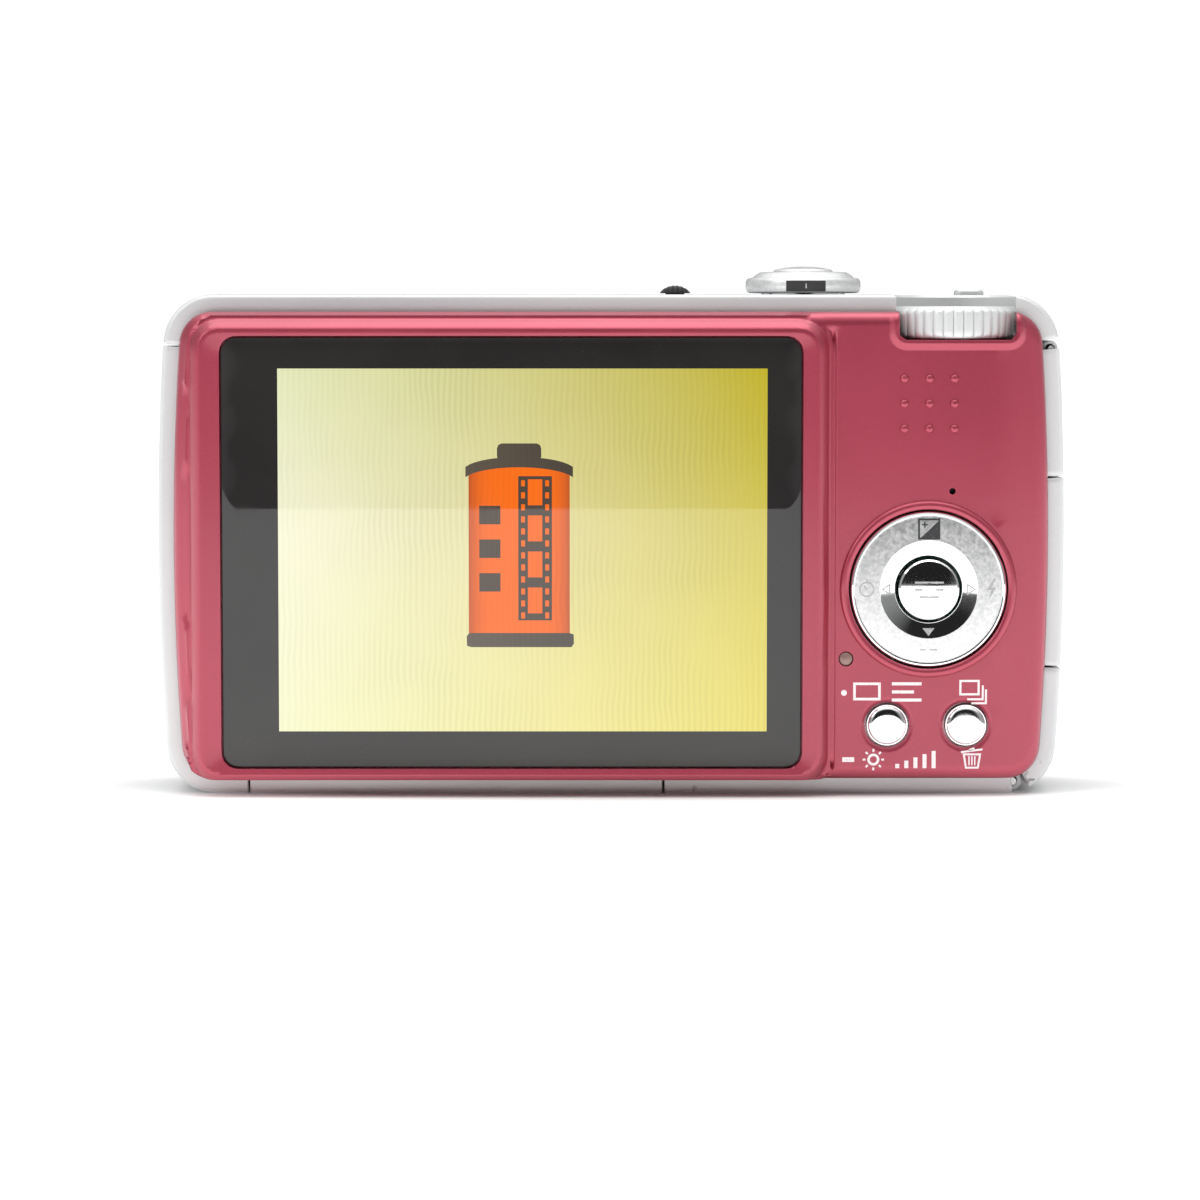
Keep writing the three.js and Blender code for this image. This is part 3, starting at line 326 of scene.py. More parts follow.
def sheet_of_triangles(outer, holes, guides=(), spacing=1.6):
    """Flat triangles inside a loop and outside every hole. The guide loops become edges of the sheet,
    and a staggered grid of points fills the rest."""
    low = outer.min(axis=0)
    high = outer.max(axis=0)
    columns, rows = np.meshgrid(np.arange(low[0], high[0], spacing), np.arange(low[1], high[1], spacing))
    columns = columns + (np.arange(rows.shape[0])[:, None] % 2) * spacing / 2
    fill = np.stack([columns.ravel(), rows.ravel()], axis=1)
    fill = fill[inside(fill, outer)]
    loops = [outer, *holes, *guides]
    border = np.concatenate(loops)
    near = np.zeros(len(fill), bool)
    for chunk in np.array_split(np.arange(len(fill)), 20):
        gaps = np.hypot(fill[chunk, None, 0] - border[None, :, 0], fill[chunk, None, 1] - border[None, :, 1])
        near[chunk] = gaps.min(axis=1) < spacing * 0.45
    points = np.concatenate([border, fill[~near]])
    edges = []
    start = 0
    for loop in loops:
        index = np.arange(len(loop)) + start
        edges += list(zip(index.tolist(), np.roll(index, -1).tolist()))
        start += len(loop)
    coordinates, _, faces, _, _, _ = delaunay_2d_cdt(points.tolist(), edges, [], 0, 1e-7)
    coordinates = np.array([tuple(c) for c in coordinates])
    faces = np.array([tuple(f) for f in faces])
    middles = coordinates[faces].mean(axis=1)
    keep = inside(middles, outer)
    for hole in holes:
        keep &= ~inside(middles, hole)
    return coordinates, faces[keep]


def grid_faces(rows, columns, closed_rows=False, closed_columns=True):
    """Quads between successive rows of a grid of points."""
    row = np.arange(rows if closed_rows else rows - 1)
    column = np.arange(columns if closed_columns else columns - 1)
    r, c = np.meshgrid(row, column, indexing="ij")
    r2 = (r + 1) % rows
    c2 = (c + 1) % columns
    quads = np.stack([r * columns + c, r * columns + c2, r2 * columns + c2, r2 * columns + c], axis=-1)
    return quads.reshape(-1, 4)


def wall(loop, depths):
    """A wall carried round a loop of (x, z) points: one ring of points for each depth y. A depth may be
    one number or one for each point."""
    rings = []
    for depth in depths:
        ring = np.empty((len(loop), 3))
        ring[:, 0] = loop[:, 0]
        ring[:, 1] = depth
        ring[:, 2] = loop[:, 1]
        rings.append(ring)
    return np.concatenate(rings), grid_faces(len(rings), len(loop))


def make_piece(name, parts, material, body, nodes=(), sharp=32, smooth=True):
    """Joins (points, faces) parts into one closed mesh in metres, points its faces outwards, splits
    its shading at edges sharper than an angle, and hands it to the frame."""
    mesh = bpy.data.meshes.new(name)
    points = []
    faces = []
    start = 0
    for part_points, part_faces in parts:
        part_points = np.asarray(part_points, float).reshape(-1, 3)
        points.append(part_points)
        if isinstance(part_faces, np.ndarray):
            faces += (part_faces + start).tolist()
        else:
            faces += [[index + start for index in face] for face in part_faces]
        start += len(part_points)
    mesh.from_pydata((np.concatenate(points) * MM).tolist(), [], faces)
    work = bmesh.new()
    work.from_mesh(mesh)
    bmesh.ops.remove_doubles(work, verts=work.verts, dist=2e-7)
    bmesh.ops.recalc_face_normals(work, faces=work.faces)
    work.to_mesh(mesh)
    work.free()
    piece = bpy.data.objects.new(name, mesh)
    bpy.context.collection.objects.link(piece)
    if material is not None:
        mesh.materials.append(material)
    finish_mesh(piece, sharp, smooth)
    if body is not None:
        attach(piece, body)
        if nodes:
            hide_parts(*nodes)
    return piece


def finish_mesh(piece, sharp=32, smooth=True):
    """Smooth shading, split at edges sharper than an angle in degrees."""
    mesh = piece.data
    mesh.polygons.foreach_set("use_smooth", [smooth] * len(mesh.polygons))
    mesh.set_sharp_from_angle(angle=math.radians(sharp))
    mesh.update()


def cut(piece, cutter_parts, sharp=32):
    """Takes closed shapes out of a piece, with its Boolean modifier applied."""
    for index, part in enumerate(cutter_parts):
        cutter = make_piece(f"cutter_{index}", [part], None, None)
        modifier = piece.modifiers.new("cut", "BOOLEAN")
        modifier.object = cutter
        modifier.operation = "DIFFERENCE"
        modifier.solver = "EXACT"
        evaluated = piece.evaluated_get(bpy.context.evaluated_depsgraph_get())
        mesh = bpy.data.meshes.new_from_object(evaluated)
        old = piece.data
        piece.modifiers.clear()
        piece.data = mesh
        mesh.name = old.name
        bpy.data.meshes.remove(old)
        cutter_mesh = cutter.data
        bpy.data.objects.remove(cutter)
        bpy.data.meshes.remove(cutter_mesh)
    finish_mesh(piece, sharp)


def prism(loop, y0, y1):
    """A closed prism: a loop of (x, z) points carried from one depth to another, with both ends closed."""
    points, faces = wall(loop, [y0, y1])
    count = len(loop)
    ends = [list(range(count)), list(range(count, 2 * count))]
    return points, faces.tolist() + ends


def node_group(name, inputs, outputs):
    """An empty shader node group with named number, colour or vector sockets."""
    group = bpy.data.node_groups.new(name, "ShaderNodeTree")
    kinds = {"f": "NodeSocketFloat", "c": "NodeSocketColor", "v": "NodeSocketVector"}
    for label, kind, default in inputs:
        socket = group.interface.new_socket(name=label, in_out="INPUT", socket_type=kinds[kind])
        if default is not None:
            socket.default_value = default
    for label, kind in outputs:
        group.interface.new_socket(name=label, in_out="OUTPUT", socket_type=kinds[kind])
    start = group.nodes.new("NodeGroupInput")
    end = group.nodes.new("NodeGroupOutput")
    return group, start, end


def math_node(tree, operation, first, second=None):
    """A Math node; each operand is a socket or a number."""
    node = tree.nodes.new("ShaderNodeMath")
    node.operation = operation
    for socket, value in zip(node.inputs, (first, second)):
        if value is None:
            continue
        if isinstance(value, (int, float)):
            socket.default_value = value
        else:
            tree.links.new(value, socket)
    return node.outputs[0]


def noise(tree, vector, scale, detail=3.0, roughness=0.5):
    """A noise texture's value at a scale in cycles for each metre."""
    node = tree.nodes.new("ShaderNodeTexNoise")
    node.inputs["Scale"].default_value = scale
    node.inputs["Detail"].default_value = detail
    node.inputs["Roughness"].default_value = roughness
    if vector is not None:
        tree.links.new(vector, node.inputs["Vector"])
    return node.outputs["Fac"]


def ramp_between(tree, value, low, high, to_low=0.0, to_high=1.0):
    """A number moved from one range to another, held at both ends."""
    node = tree.nodes.new("ShaderNodeMapRange")
    node.inputs["From Min"].default_value = low
    node.inputs["From Max"].default_value = high
    node.inputs["To Min"].default_value = to_low
    node.inputs["To Max"].default_value = to_high
    tree.links.new(value, node.inputs["Value"])
    return node.outputs[0]


def build_handling_wear():
    """Soft smudges, fine dust specks and a shallow orange-peel height, shared by all the outer finishes."""
    group, start, end = node_group(
        "handling_wear",
        [("Vector", "v", None), ("Smudge Scale", "f", 60.0), ("Dust Scale", "f", 2600.0)],
        [("Smudge", "f"), ("Dust", "f"), ("Peel", "f")])
    vector = start.outputs["Vector"]
    smudge = group.nodes.new("ShaderNodeTexNoise")
    smudge.inputs["Detail"].default_value = 4.0
    smudge.inputs["Distortion"].default_value = 0.6
    group.links.new(vector, smudge.inputs["Vector"])
    group.links.new(start.outputs["Smudge Scale"], smudge.inputs["Scale"])
    dust = group.nodes.new("ShaderNodeTexVoronoi")
    group.links.new(vector, dust.inputs["Vector"])
    group.links.new(start.outputs["Dust Scale"], dust.inputs["Scale"])
    specks = ramp_between(group, dust.outputs["Distance"], 0.0, 0.10, 1.0, 0.0)
    thin = ramp_between(group, noise(group, vector, 240.0), 0.56, 0.68)
    group.links.new(ramp_between(group, smudge.outputs["Fac"], 0.35, 0.7), end.inputs["Smudge"])
    group.links.new(math_node(group, "MULTIPLY", specks, thin), end.inputs["Dust"])
    group.links.new(noise(group, vector, 1400.0, 2.0), end.inputs["Peel"])
    return group


HANDLING_WEAR = build_handling_wear()


def new_material(name):
    """A material with its Principled shader, and the object's own coordinates."""
    material = bpy.data.materials.new(name)
    material.use_nodes = True
    tree = material.node_tree
    shader = tree.nodes["Principled BSDF"]
    coordinates = tree.nodes.new("ShaderNodeTexCoord")
    return material, tree, shader, coordinates.outputs["Object"]


def place_wear(tree, vector, smudge_scale=60.0, dust_scale=2600.0):
    """The shared wear group placed in a material with its own scales."""
    node = tree.nodes.new("ShaderNodeGroup")
    node.node_tree = HANDLING_WEAR
    node.inputs["Smudge Scale"].default_value = smudge_scale
    node.inputs["Dust Scale"].default_value = dust_scale
    tree.links.new(vector, node.inputs["Vector"])
    return node


def mix_colour(tree, factor, first, second, blend="MIX"):
    """Two colours mixed by a factor; each is a colour or a socket."""
    node = tree.nodes.new("ShaderNodeMix")
    node.data_type = "RGBA"
    node.blend_type = blend
    for socket, value in ((node.inputs[0], factor), (node.inputs[6], first), (node.inputs[7], second)):
        if isinstance(value, (int, float)):
            socket.default_value = value
        elif isinstance(value, tuple):
            socket.default_value = (*value, 1.0)
        else:
            tree.links.new(value, socket)
    return node.outputs[2]


def bump_into(tree, shader, height, strength, distance):
    """A Bump node feeding the shader's Normal."""
    bump = tree.nodes.new("ShaderNodeBump")
    bump.inputs["Strength"].default_value = strength
    bump.inputs["Distance"].default_value = distance
    tree.links.new(height, bump.inputs["Height"])
    tree.links.new(bump.outputs["Normal"], shader.inputs["Normal"])


def make_paint(name, colour, deep, roughness, metallic, coat, flake=0.04):
    """Sprayed metallic paint: a base that drifts between two near shades, fine bright flakes, a clear
    coat, smudges that change its gloss, and a few specks of dust."""
    material, tree, shader, vector = new_material(name)
    wear = place_wear(tree, vector)
    drift = ramp_between(tree, noise(tree, vector, 22.0, 2.0), 0.3, 0.7)
    base = mix_colour(tree, drift, colour, deep)
    flakes = tree.nodes.new("ShaderNodeTexVoronoi")
    flakes.inputs["Scale"].default_value = 16000.0
    tree.links.new(vector, flakes.inputs["Vector"])
    sparkle = ramp_between(tree, flakes.outputs["Color"], 0.75, 1.0, 0.0, flake * 6)
    bright = tuple(min(1.0, channel * 1.5 + 0.06) for channel in colour)
    base = mix_colour(tree, sparkle, base, bright)
    base = mix_colour(tree, math_node(tree, "MULTIPLY", wear.outputs["Dust"], 0.35), base, (0.8, 0.78, 0.76))
    tree.links.new(base, shader.inputs["Base Color"])
    gloss = ramp_between(tree, wear.outputs["Smudge"], 0.0, 1.0, roughness, roughness + 0.10)
    tree.links.new(gloss, shader.inputs["Roughness"])
    shader.inputs["Metallic"].default_value = metallic
    shader.inputs["Coat Weight"].default_value = coat
    shader.inputs["Coat Roughness"].default_value = 0.12
    bump_into(tree, shader, wear.outputs["Peel"], 0.10, 0.00002)
    return material


RED_PAINT = make_paint("rose_red_paint", (0.44, 0.056, 0.094), (0.39, 0.046, 0.082), 0.33, 0.60, 0.6)

WINDOW = box_mm("lcd_window")
WINDOW_LOW = WINDOW[0][[0, 2]]
WINDOW_HIGH = WINDOW[1][[0, 2]]
WINDOW_CORNER = 1.6
MODULE = box_mm("lcd_panel")
PAD = box_mm("cursor_pad")
PAD_MIDDLE = ((PAD[0] + PAD[1]) / 2)[[0, 2]]
PAD_RADIUS = (PAD[1][0] - PAD[0][0]) / 2
PAD_GAP = 0.16
DISPLAY_KEY = box_mm("display_button")
BURST_KEY = box_mm("burst_button")
KEY_MIDDLES = [((key[0] + key[1]) / 2)[[0, 2]] for key in (DISPLAY_KEY, BURST_KEY)]
KEY_RADIUS = 2.15
LAMP = box_mm("status_lamp")
LAMP_MIDDLE = ((LAMP[0] + LAMP[1]) / 2)[[0, 2]]
DIAL = box_mm("mode_dial")
DIAL_MIDDLE = (DIAL[0] + DIAL[1]) / 2
CREST_Y = REAR[0][1]
PANEL_Y = CREST_Y + 1.2
COVER_FRONT_Y = REAR[1][1]
COVER_BACK_Y = PANEL_Y + 1.2
RIDGE_LOW = np.array([WINDOW_LOW[0] - 2.2, WINDOW_LOW[1] - 0.75])
RIDGE_HIGH = np.array([WINDOW_HIGH[0] + 1.75, WINDOW_HIGH[1] + 0.75])
RIDGE_CORNER = 2.0
RIDGE_FALL = 1.15
GROOVE_X = RIDGE_HIGH[0] + RIDGE_FALL + 0.15
SLOT_HALF_WIDTH = 6.1
DIAL_LOW = DIAL[0][2] + 0.7
SLOT_FLOOR = DIAL_LOW - 0.1
THUMB_MIDDLE = np.array([PAD_MIDDLE[0], PAD_MIDDLE[1] + 19.3])
THUMB_PITCH = 2.6
THUMB_RADIUS = 0.45
PINHOLE = np.array([PAD_MIDDLE[0] + 2.45, PAD_MIDDLE[1] + 10.2])


def smooth_step(value):
    """0 below 0, 1 above 1, and a smooth S between."""
    t = np.clip(value, 0, 1)
    return t * t * (3 - 2 * t)


def rear_height(x, z):
    """Depth y of the rear cover's face. A flat panel falls away towards both sides and rounds over at
    its edge. On it stand the screen frame with its sloping flanks, the lips round the pad, the keys and
    the dial slot, and nine domed bumps. A groove parts the frame from the control panel."""
    depth = body_depth(x, z) - COVER_INSET
    depth = np.where(depth < EDGE_SNAP, 0, depth)
    side = 0.20 * np.maximum(0, x - 40.4)
    side = side + 0.24 * np.maximum(0, -x - 42.9)
    radius = 1.3
    inward = np.clip(radius - depth, 0, radius)
    edge = radius - np.sqrt(np.maximum(radius ** 2 - inward ** 2, 0))
    panel = PANEL_Y + side + edge
    groove = np.exp(-((x - GROOVE_X) / 0.34) ** 2) * smooth_step((z - WINDOW_LOW[1] + 0.6) / 0.8)
    panel = panel + 0.75 * groove * smooth_step((WINDOW_HIGH[1] + 0.9 - z) / 0.8)
    ridge = rectangle_distance(x, z, RIDGE_LOW, RIDGE_HIGH, RIDGE_CORNER)
    fall = np.clip(ridge / RIDGE_FALL, 0, 1)
    frame_y = CREST_Y + 0.02 + 1.25 * fall ** 1.5
    frame_y = frame_y + 0.18 * np.clip(-ridge / 2.2, 0, 1)
    blend = 0.10
    gap = panel - frame_y
    mixed = 0.5 * (panel + frame_y - np.sqrt(gap * gap + blend * blend))
    face = np.where(ridge < RIDGE_FALL + 0.5, np.maximum(mixed, CREST_Y), panel)
    pad = np.hypot(x - PAD_MIDDLE[0], z - PAD_MIDDLE[1]) - (PAD_RADIUS + PAD_GAP)
    face = face - 0.42 * np.sqrt(np.maximum(0, 1 - ((pad - 0.42) / 0.50) ** 2))
    for middle in KEY_MIDDLES:
        key = np.hypot(x - middle[0], z - middle[1]) - (KEY_RADIUS + 0.25)
        face = face + 0.16 * smooth_step((0.35 - key) / 0.35)
    lip_low = (DIAL_MIDDLE[0] - SLOT_HALF_WIDTH - 0.75, SLOT_FLOOR - 0.72)
    lip_high = (DIAL_MIDDLE[0] + SLOT_HALF_WIDTH + 0.75, HEIGHT + 20.0)
    lip = rectangle_distance(x, z, lip_low, lip_high, 1.5)
    face = face - 0.36 * smooth_step((0.25 - lip) / 0.5) + 0.20 * smooth_step((-0.55 - lip) / 0.4)
    for column in (-1, 0, 1):
        for row in (-1, 0, 1):
            bump = np.hypot(x - THUMB_MIDDLE[0] - column * THUMB_PITCH,
                            z - THUMB_MIDDLE[1] - row * THUMB_PITCH)
            face = face - 0.30 * np.sqrt(np.maximum(0, 1 - (bump / THUMB_RADIUS) ** 2))
    return np.maximum(face, CREST_Y)


def make_rear_cover():
    """Outer face, rim, inner face and hole walls, joined into one shell, then cut for the dial."""
    outer = body_loop(COVER_INSET, 0.7)
    recess = rounded_rectangle(WINDOW_LOW - 0.12, WINDOW_HIGH + 0.12, WINDOW_CORNER + 0.12)[0]
    pad_hole = circle(PAD_MIDDLE, PAD_RADIUS + PAD_GAP, 160)
    key_holes = [circle(middle, KEY_RADIUS + 0.22, 56) for middle in KEY_MIDDLES]
    lamp_hole = circle(LAMP_MIDDLE, 0.78, 28)
    pin_hole = circle(PINHOLE, 0.34, 20)
    holes = [recess, pad_hole, *key_holes, lamp_hole, pin_hole]
    guides = [body_loop(COVER_INSET + inset, 0.8) for inset in (0.03, 0.10, 0.22, 0.4, 0.65, 0.95, 1.3, 1.6)]
    ridge, ridge_normal = rounded_rectangle(RIDGE_LOW, RIDGE_HIGH, RIDGE_CORNER, 0.8)
    guides += [ridge + out * ridge_normal for out in (-0.4, 0.0, 0.15, 0.32, 0.5, 0.7, 0.9, 1.1)]
    for out in (0.04, 0.10, 0.18, 0.30, 0.42, 0.54, 0.66, 0.76, 0.84, 0.90, 0.94, 1.1, 1.4):
        guides.append(circle(PAD_MIDDLE, PAD_RADIUS + PAD_GAP + out, 160))
    for middle in KEY_MIDDLES:
        guides += [circle(middle, KEY_RADIUS + 0.25 + out, 56) for out in (0.12, 0.25, 0.4, 0.6)]
    for column in (-1, 0, 1):
        for row in (-1, 0, 1):
            centre = THUMB_MIDDLE + np.array([column, row]) * THUMB_PITCH
            guides += [circle(centre, THUMB_RADIUS * share, 18) for share in (0.25, 0.5, 0.72, 0.88, 0.96,
                                                                              1.0, 1.2)]
    groove_low, groove_high = WINDOW_LOW[1] - 0.8, WINDOW_HIGH[1] + 0.6
    for offset in (-0.7, -0.45, -0.25, 0.0, 0.25, 0.45, 0.7):
        heights = np.linspace(groove_low, groove_high, 60)
        there = np.stack([np.full(60, GROOVE_X + offset), heights], axis=1)
        back_again = there[::-1] + np.array([0.02, 0.0])
        guides.append(np.concatenate([there, back_again]))
    for out in (-1.0, -0.75, -0.5, -0.25, 0.0, 0.25, 0.4):
        half = SLOT_HALF_WIDTH + 0.75 + out
        low = np.array([DIAL_MIDDLE[0] - half, SLOT_FLOOR - 0.72 - out])
        high = np.array([DIAL_MIDDLE[0] + half, HEIGHT - COVER_INSET - 0.05])
        guides.append(rounded_rectangle(low, high, max(0.4, 1.5 + out), 0.5)[0])
    flat, faces = sheet_of_triangles(outer, holes, guides)
    face_y = rear_height(flat[:, 0], flat[:, 1])
    face = (np.stack([flat[:, 0], face_y, flat[:, 1]], axis=1), faces)
    inner = body_loop(COVER_INSET + 1.0, 0.7)
    opening = rounded_rectangle(MODULE[0][[0, 2]] - 0.25, MODULE[1][[0, 2]] + 0.25, 0.5, 0.8)[0]
    lining, lining_faces = sheet_of_triangles(inner, [opening, pad_hole, *key_holes, lamp_hole, pin_hole],
                                              [recess], 4.0)
    back = (np.stack([lining[:, 0], np.full(len(lining), COVER_BACK_Y), lining[:, 1]], axis=1), lining_faces)
    rim_y = rear_height(outer[:, 0], outer[:, 1])
    rim = wall(outer, [rim_y, (rim_y + COVER_FRONT_Y) / 2, COVER_FRONT_Y])
    lip_count = len(outer)
    lip_points = np.concatenate([
        np.stack([outer[:, 0], np.full(lip_count, COVER_FRONT_Y), outer[:, 1]], axis=1),
        np.stack([inner[:, 0], np.full(lip_count, COVER_FRONT_Y), inner[:, 1]], axis=1)])
    lip = (lip_points, grid_faces(2, lip_count))
    inner_wall = wall(inner, [COVER_FRONT_Y, COVER_BACK_Y])
    parts = [face, back, rim, lip, inner_wall]
    for hole in (pad_hole, *key_holes, lamp_hole, pin_hole):
        parts.append(wall(hole, [rear_height(hole[:, 0], hole[:, 1]), COVER_BACK_Y]))
    seat_y = WINDOW[1][1] + 0.15
    parts.append(wall(recess, [rear_height(recess[:, 0], recess[:, 1]), seat_y]))
    seat, seat_faces = sheet_of_triangles(recess, [opening], (), 3.0)
    parts.append((np.stack([seat[:, 0], np.full(len(seat), seat_y), seat[:, 1]], axis=1), seat_faces))
    parts.append(wall(opening, [seat_y, COVER_BACK_Y]))
    cover = make_piece("red_rear_cover", parts, RED_PAINT, "case", ["rear_cover"], 38)
    slot_low = (DIAL_MIDDLE[0] - SLOT_HALF_WIDTH, SLOT_FLOOR)
    slot_high = (DIAL_MIDDLE[0] + SLOT_HALF_WIDTH, HEIGHT + 10.0)
    slot_loop = rounded_rectangle(slot_low, slot_high, 0.5, 1.0)[0]
    cut(cover, [prism(slot_loop, CREST_Y - 3, COVER_FRONT_Y + 3)], 38)


make_rear_cover()


# ---------------------------------------------------------------- front cover
# The matching red pressing round the lens, with holes for the lens barrel, the flash window and the
# assist lamp. It clips to the silver band, and its face swells very slightly towards the middle.

LENS_RING = box_mm("lens_ring")
LENS_MIDDLE = ((LENS_RING[0] + LENS_RING[1]) / 2)[[0, 2]]
RING_RADIUS = (LENS_RING[1][0] - LENS_RING[0][0]) / 2
FLASH = box_mm("flash_window")
ASSIST = box_mm("assist_lamp")
ASSIST_MIDDLE = ((ASSIST[0] + ASSIST[1]) / 2)[[0, 2]]
ASSIST_RADIUS = (ASSIST[1][0] - ASSIST[0][0]) / 2


def front_height(x, z):
    """Depth y of the front cover's face: a slightly swollen plate that rounds over at its edge, with a
    raised lip round the flash window and the lamp, and a shallow step that runs down beside the lens."""
    depth = body_depth(x, z) - COVER_INSET
    depth = np.where(depth < EDGE_SNAP, 0, depth)
    swell = 0.16 * np.clip((x / HALF_WIDTH) ** 2 + 0.6 * ((z - MID) / MID) ** 2, 0, 2)
    radius = 1.5
    inward = np.clip(radius - depth, 0, radius)
    edge = radius - np.sqrt(np.maximum(radius ** 2 - inward ** 2, 0))
    face = FRONT[1][1] - 0.14 - swell - edge
    flash = rectangle_distance(x, z, FLASH[0][[0, 2]] - 0.2, FLASH[1][[0, 2]] + 0.2, 1.0)
    face = face + 0.12 * smooth_step((0.9 - flash) / 0.5)
    lamp = np.hypot(x - ASSIST_MIDDLE[0], z - ASSIST_MIDDLE[1]) - ASSIST_RADIUS - 0.2
    face = face + 0.12 * smooth_step((0.6 - lamp) / 0.4)
    step = smooth_step((x - LENS_MIDDLE[0] - RING_RADIUS - 4.0 - 0.09 * (z - MID)) / 0.7)
    return np.minimum(face - 0.22 * step * smooth_step((depth - 1.2) / 1.5), FRONT[1][1])


def make_front_cover():
    """Outer face, rim, inner face and hole walls, joined into one shell."""
    outer = body_loop(COVER_INSET, 0.7)
    lens_hole = circle(LENS_MIDDLE, RING_RADIUS - 1.0, 160)
    flash_hole = rounded_rectangle(FLASH[0][[0, 2]] - 0.15, FLASH[1][[0, 2]] + 0.15, 0.9, 0.6)[0]
    lamp_hole = circle(ASSIST_MIDDLE, ASSIST_RADIUS + 0.15, 48)
    holes = [lens_hole, flash_hole, lamp_hole]
    guides = [body_loop(COVER_INSET + inset, 0.8) for inset in (0.03, 0.12, 0.28, 0.5, 0.8, 1.15, 1.55, 2.1)]
    for out in (0.25, 0.45, 0.65, 0.85, 1.1):
        guides.append(rounded_rectangle(FLASH[0][[0, 2]] - out, FLASH[1][[0, 2]] + out, 0.9 + out, 0.6)[0])
        guides.append(circle(ASSIST_MIDDLE, ASSIST_RADIUS + out, 48))
    heights = np.linspace(2.6, HEIGHT - 2.6, 60)
    for offset in (-0.15, 0.1, 0.35, 0.6, 0.85):
        x = LENS_MIDDLE[0] + RING_RADIUS + 4.0 + 0.09 * (heights - MID) + offset
        there = np.stack([x, heights], axis=1)
        guides.append(np.concatenate([there, there[::-1] + np.array([0.02, 0.0])]))
    flat, faces = sheet_of_triangles(outer, holes, guides, 2.2)
    face = (np.stack([flat[:, 0], front_height(flat[:, 0], flat[:, 1]), flat[:, 1]], axis=1), faces)
    inner = body_loop(COVER_INSET + 1.0, 0.7)
    inner_y = FRONT[1][1] - 1.3
    lining, lining_faces = sheet_of_triangles(inner, holes, (), 4.0)
    back = (np.stack([lining[:, 0], np.full(len(lining), inner_y), lining[:, 1]], axis=1), lining_faces)
    rim_y = front_height(outer[:, 0], outer[:, 1])
    rear_y = FRONT[0][1]
    rim = wall(outer, [rim_y, (rim_y + rear_y) / 2, rear_y])
    count = len(outer)
    lip_points = np.concatenate([
        np.stack([outer[:, 0], np.full(count, rear_y), outer[:, 1]], axis=1),
        np.stack([inner[:, 0], np.full(count, rear_y), inner[:, 1]], axis=1)])
    parts = [face, back, rim, (lip_points, grid_faces(2, count)), wall(inner, [rear_y, inner_y])]
    for hole in holes:
        parts.append(wall(hole, [front_height(hole[:, 0], hole[:, 1]), inner_y]))
    make_piece("red_front_cover", parts, RED_PAINT, "case", ["front_cover"], 38)


make_front_cover()


# ---------------------------------------------------------------- silver band
# Seven silver-painted pressings wrap the edge of the body. They meet at narrow seams, carry the holes for
# the controls, the speaker and the strap, and are held by small screws through the sides and the base.

BAND = box_mm("left_band")
BAND_WALL = 1.2
LIP_REACH = 2.4
SEAM = 0.2
BAND_MID_Y = (BAND[0][1] + BAND[1][1]) / 2


def rounded_profile(points, radii, steps=5):
    """A polygon with each corner swapped for a short curve that starts and ends one radius from it."""
    points = np.asarray(points, float)
    radii = np.asarray(radii, float)[:, None]
    before = np.roll(points, 1, axis=0) - points
    after = np.roll(points, -1, axis=0) - points
    start = points + before / np.linalg.norm(before, axis=1, keepdims=True) * radii
    end = points + after / np.linalg.norm(after, axis=1, keepdims=True) * radii
    t = np.linspace(0, 1, steps)[None, :, None]
    curve = (1 - t) ** 2 * start[:, None] + 2 * t * (1 - t) * points[:, None] + t ** 2 * end[:, None]
    return curve.reshape(-1, 2)


def carry(loop, normals, levels, axis):
    """A closed solid: a flat loop carried along an axis. Each level gives the place on the axis and how
    far the loop grows there along its normals. Both ends are closed with one face."""
    rings = []
    for place, grow in levels:
        flat = loop + grow * normals
        ring = np.full((len(loop), 3), float(place))
        ring[:, [k for k in range(3) if k != axis]] = flat
        rings.append(ring)
    count = len(loop)
    faces = grid_faces(len(rings), count).tolist()
    last = (len(rings) - 1) * count
    faces += [list(range(count)), list(range(last, last + count))]
    return np.concatenate(rings), faces


def soft_levels(low, high, radius, soft_low=True, soft_high=True, steps=5):
    """Levels for a carried loop whose edges are rounded by a quarter circle at one or both ends."""
    turn = np.linspace(0, math.pi / 2, steps)
    levels = []
    if soft_low:
        levels += list(zip(low + radius * (1 - np.sin(turn)), radius * (np.cos(turn) - 1)))[::-1]
    else:
        levels += [(low, 0.0)]
    if soft_high:
        levels += list(zip(high - radius * (1 - np.sin(turn)), radius * (np.cos(turn) - 1)))
    else:
        levels += [(high, 0.0)]
    return levels


def round_loop(centre, radius, count=64):
    """A circle's points and outward normals."""
    points, normals = arc(centre, radius, 0, 2 * math.pi, count + 1)
    return points[:-1], normals[:-1]


def path_place(side, z):
    """How far along the body's outline, from the middle of the base, one side reaches a height."""
    points = BODY_PATH[0]
    length = np.r_[0, np.cumsum(np.linalg.norm(np.diff(points, axis=0), axis=1))]
    half = len(points) // 2
    if side == "right":
        return float(np.interp(z, points[:half, 1], length[:half]))
    return float(np.interp(-z, -points[half:, 1], length[half:]))


def path_piece(start, end, step):
    """Evenly spaced points and normals on part of the outline, with a short step at each end."""
    points, normals = BODY_PATH
    length = np.r_[0, np.cumsum(np.linalg.norm(np.diff(points, axis=0), axis=1))]
    places = np.linspace(start, end, max(3, int((end - start) / step)))
    places = np.sort(np.r_[places, start + 0.06, start + 0.14, end - 0.14, end - 0.06])
    wrapped = np.mod(places, length[-1])
    at = np.stack([np.interp(wrapped, length, points[:, k]) for k in (0, 1)], axis=1)
    turned = np.stack([np.interp(wrapped, length, normals[:, k]) for k in (0, 1)], axis=1)
    return at, turned / np.linalg.norm(turned, axis=1, keepdims=True)


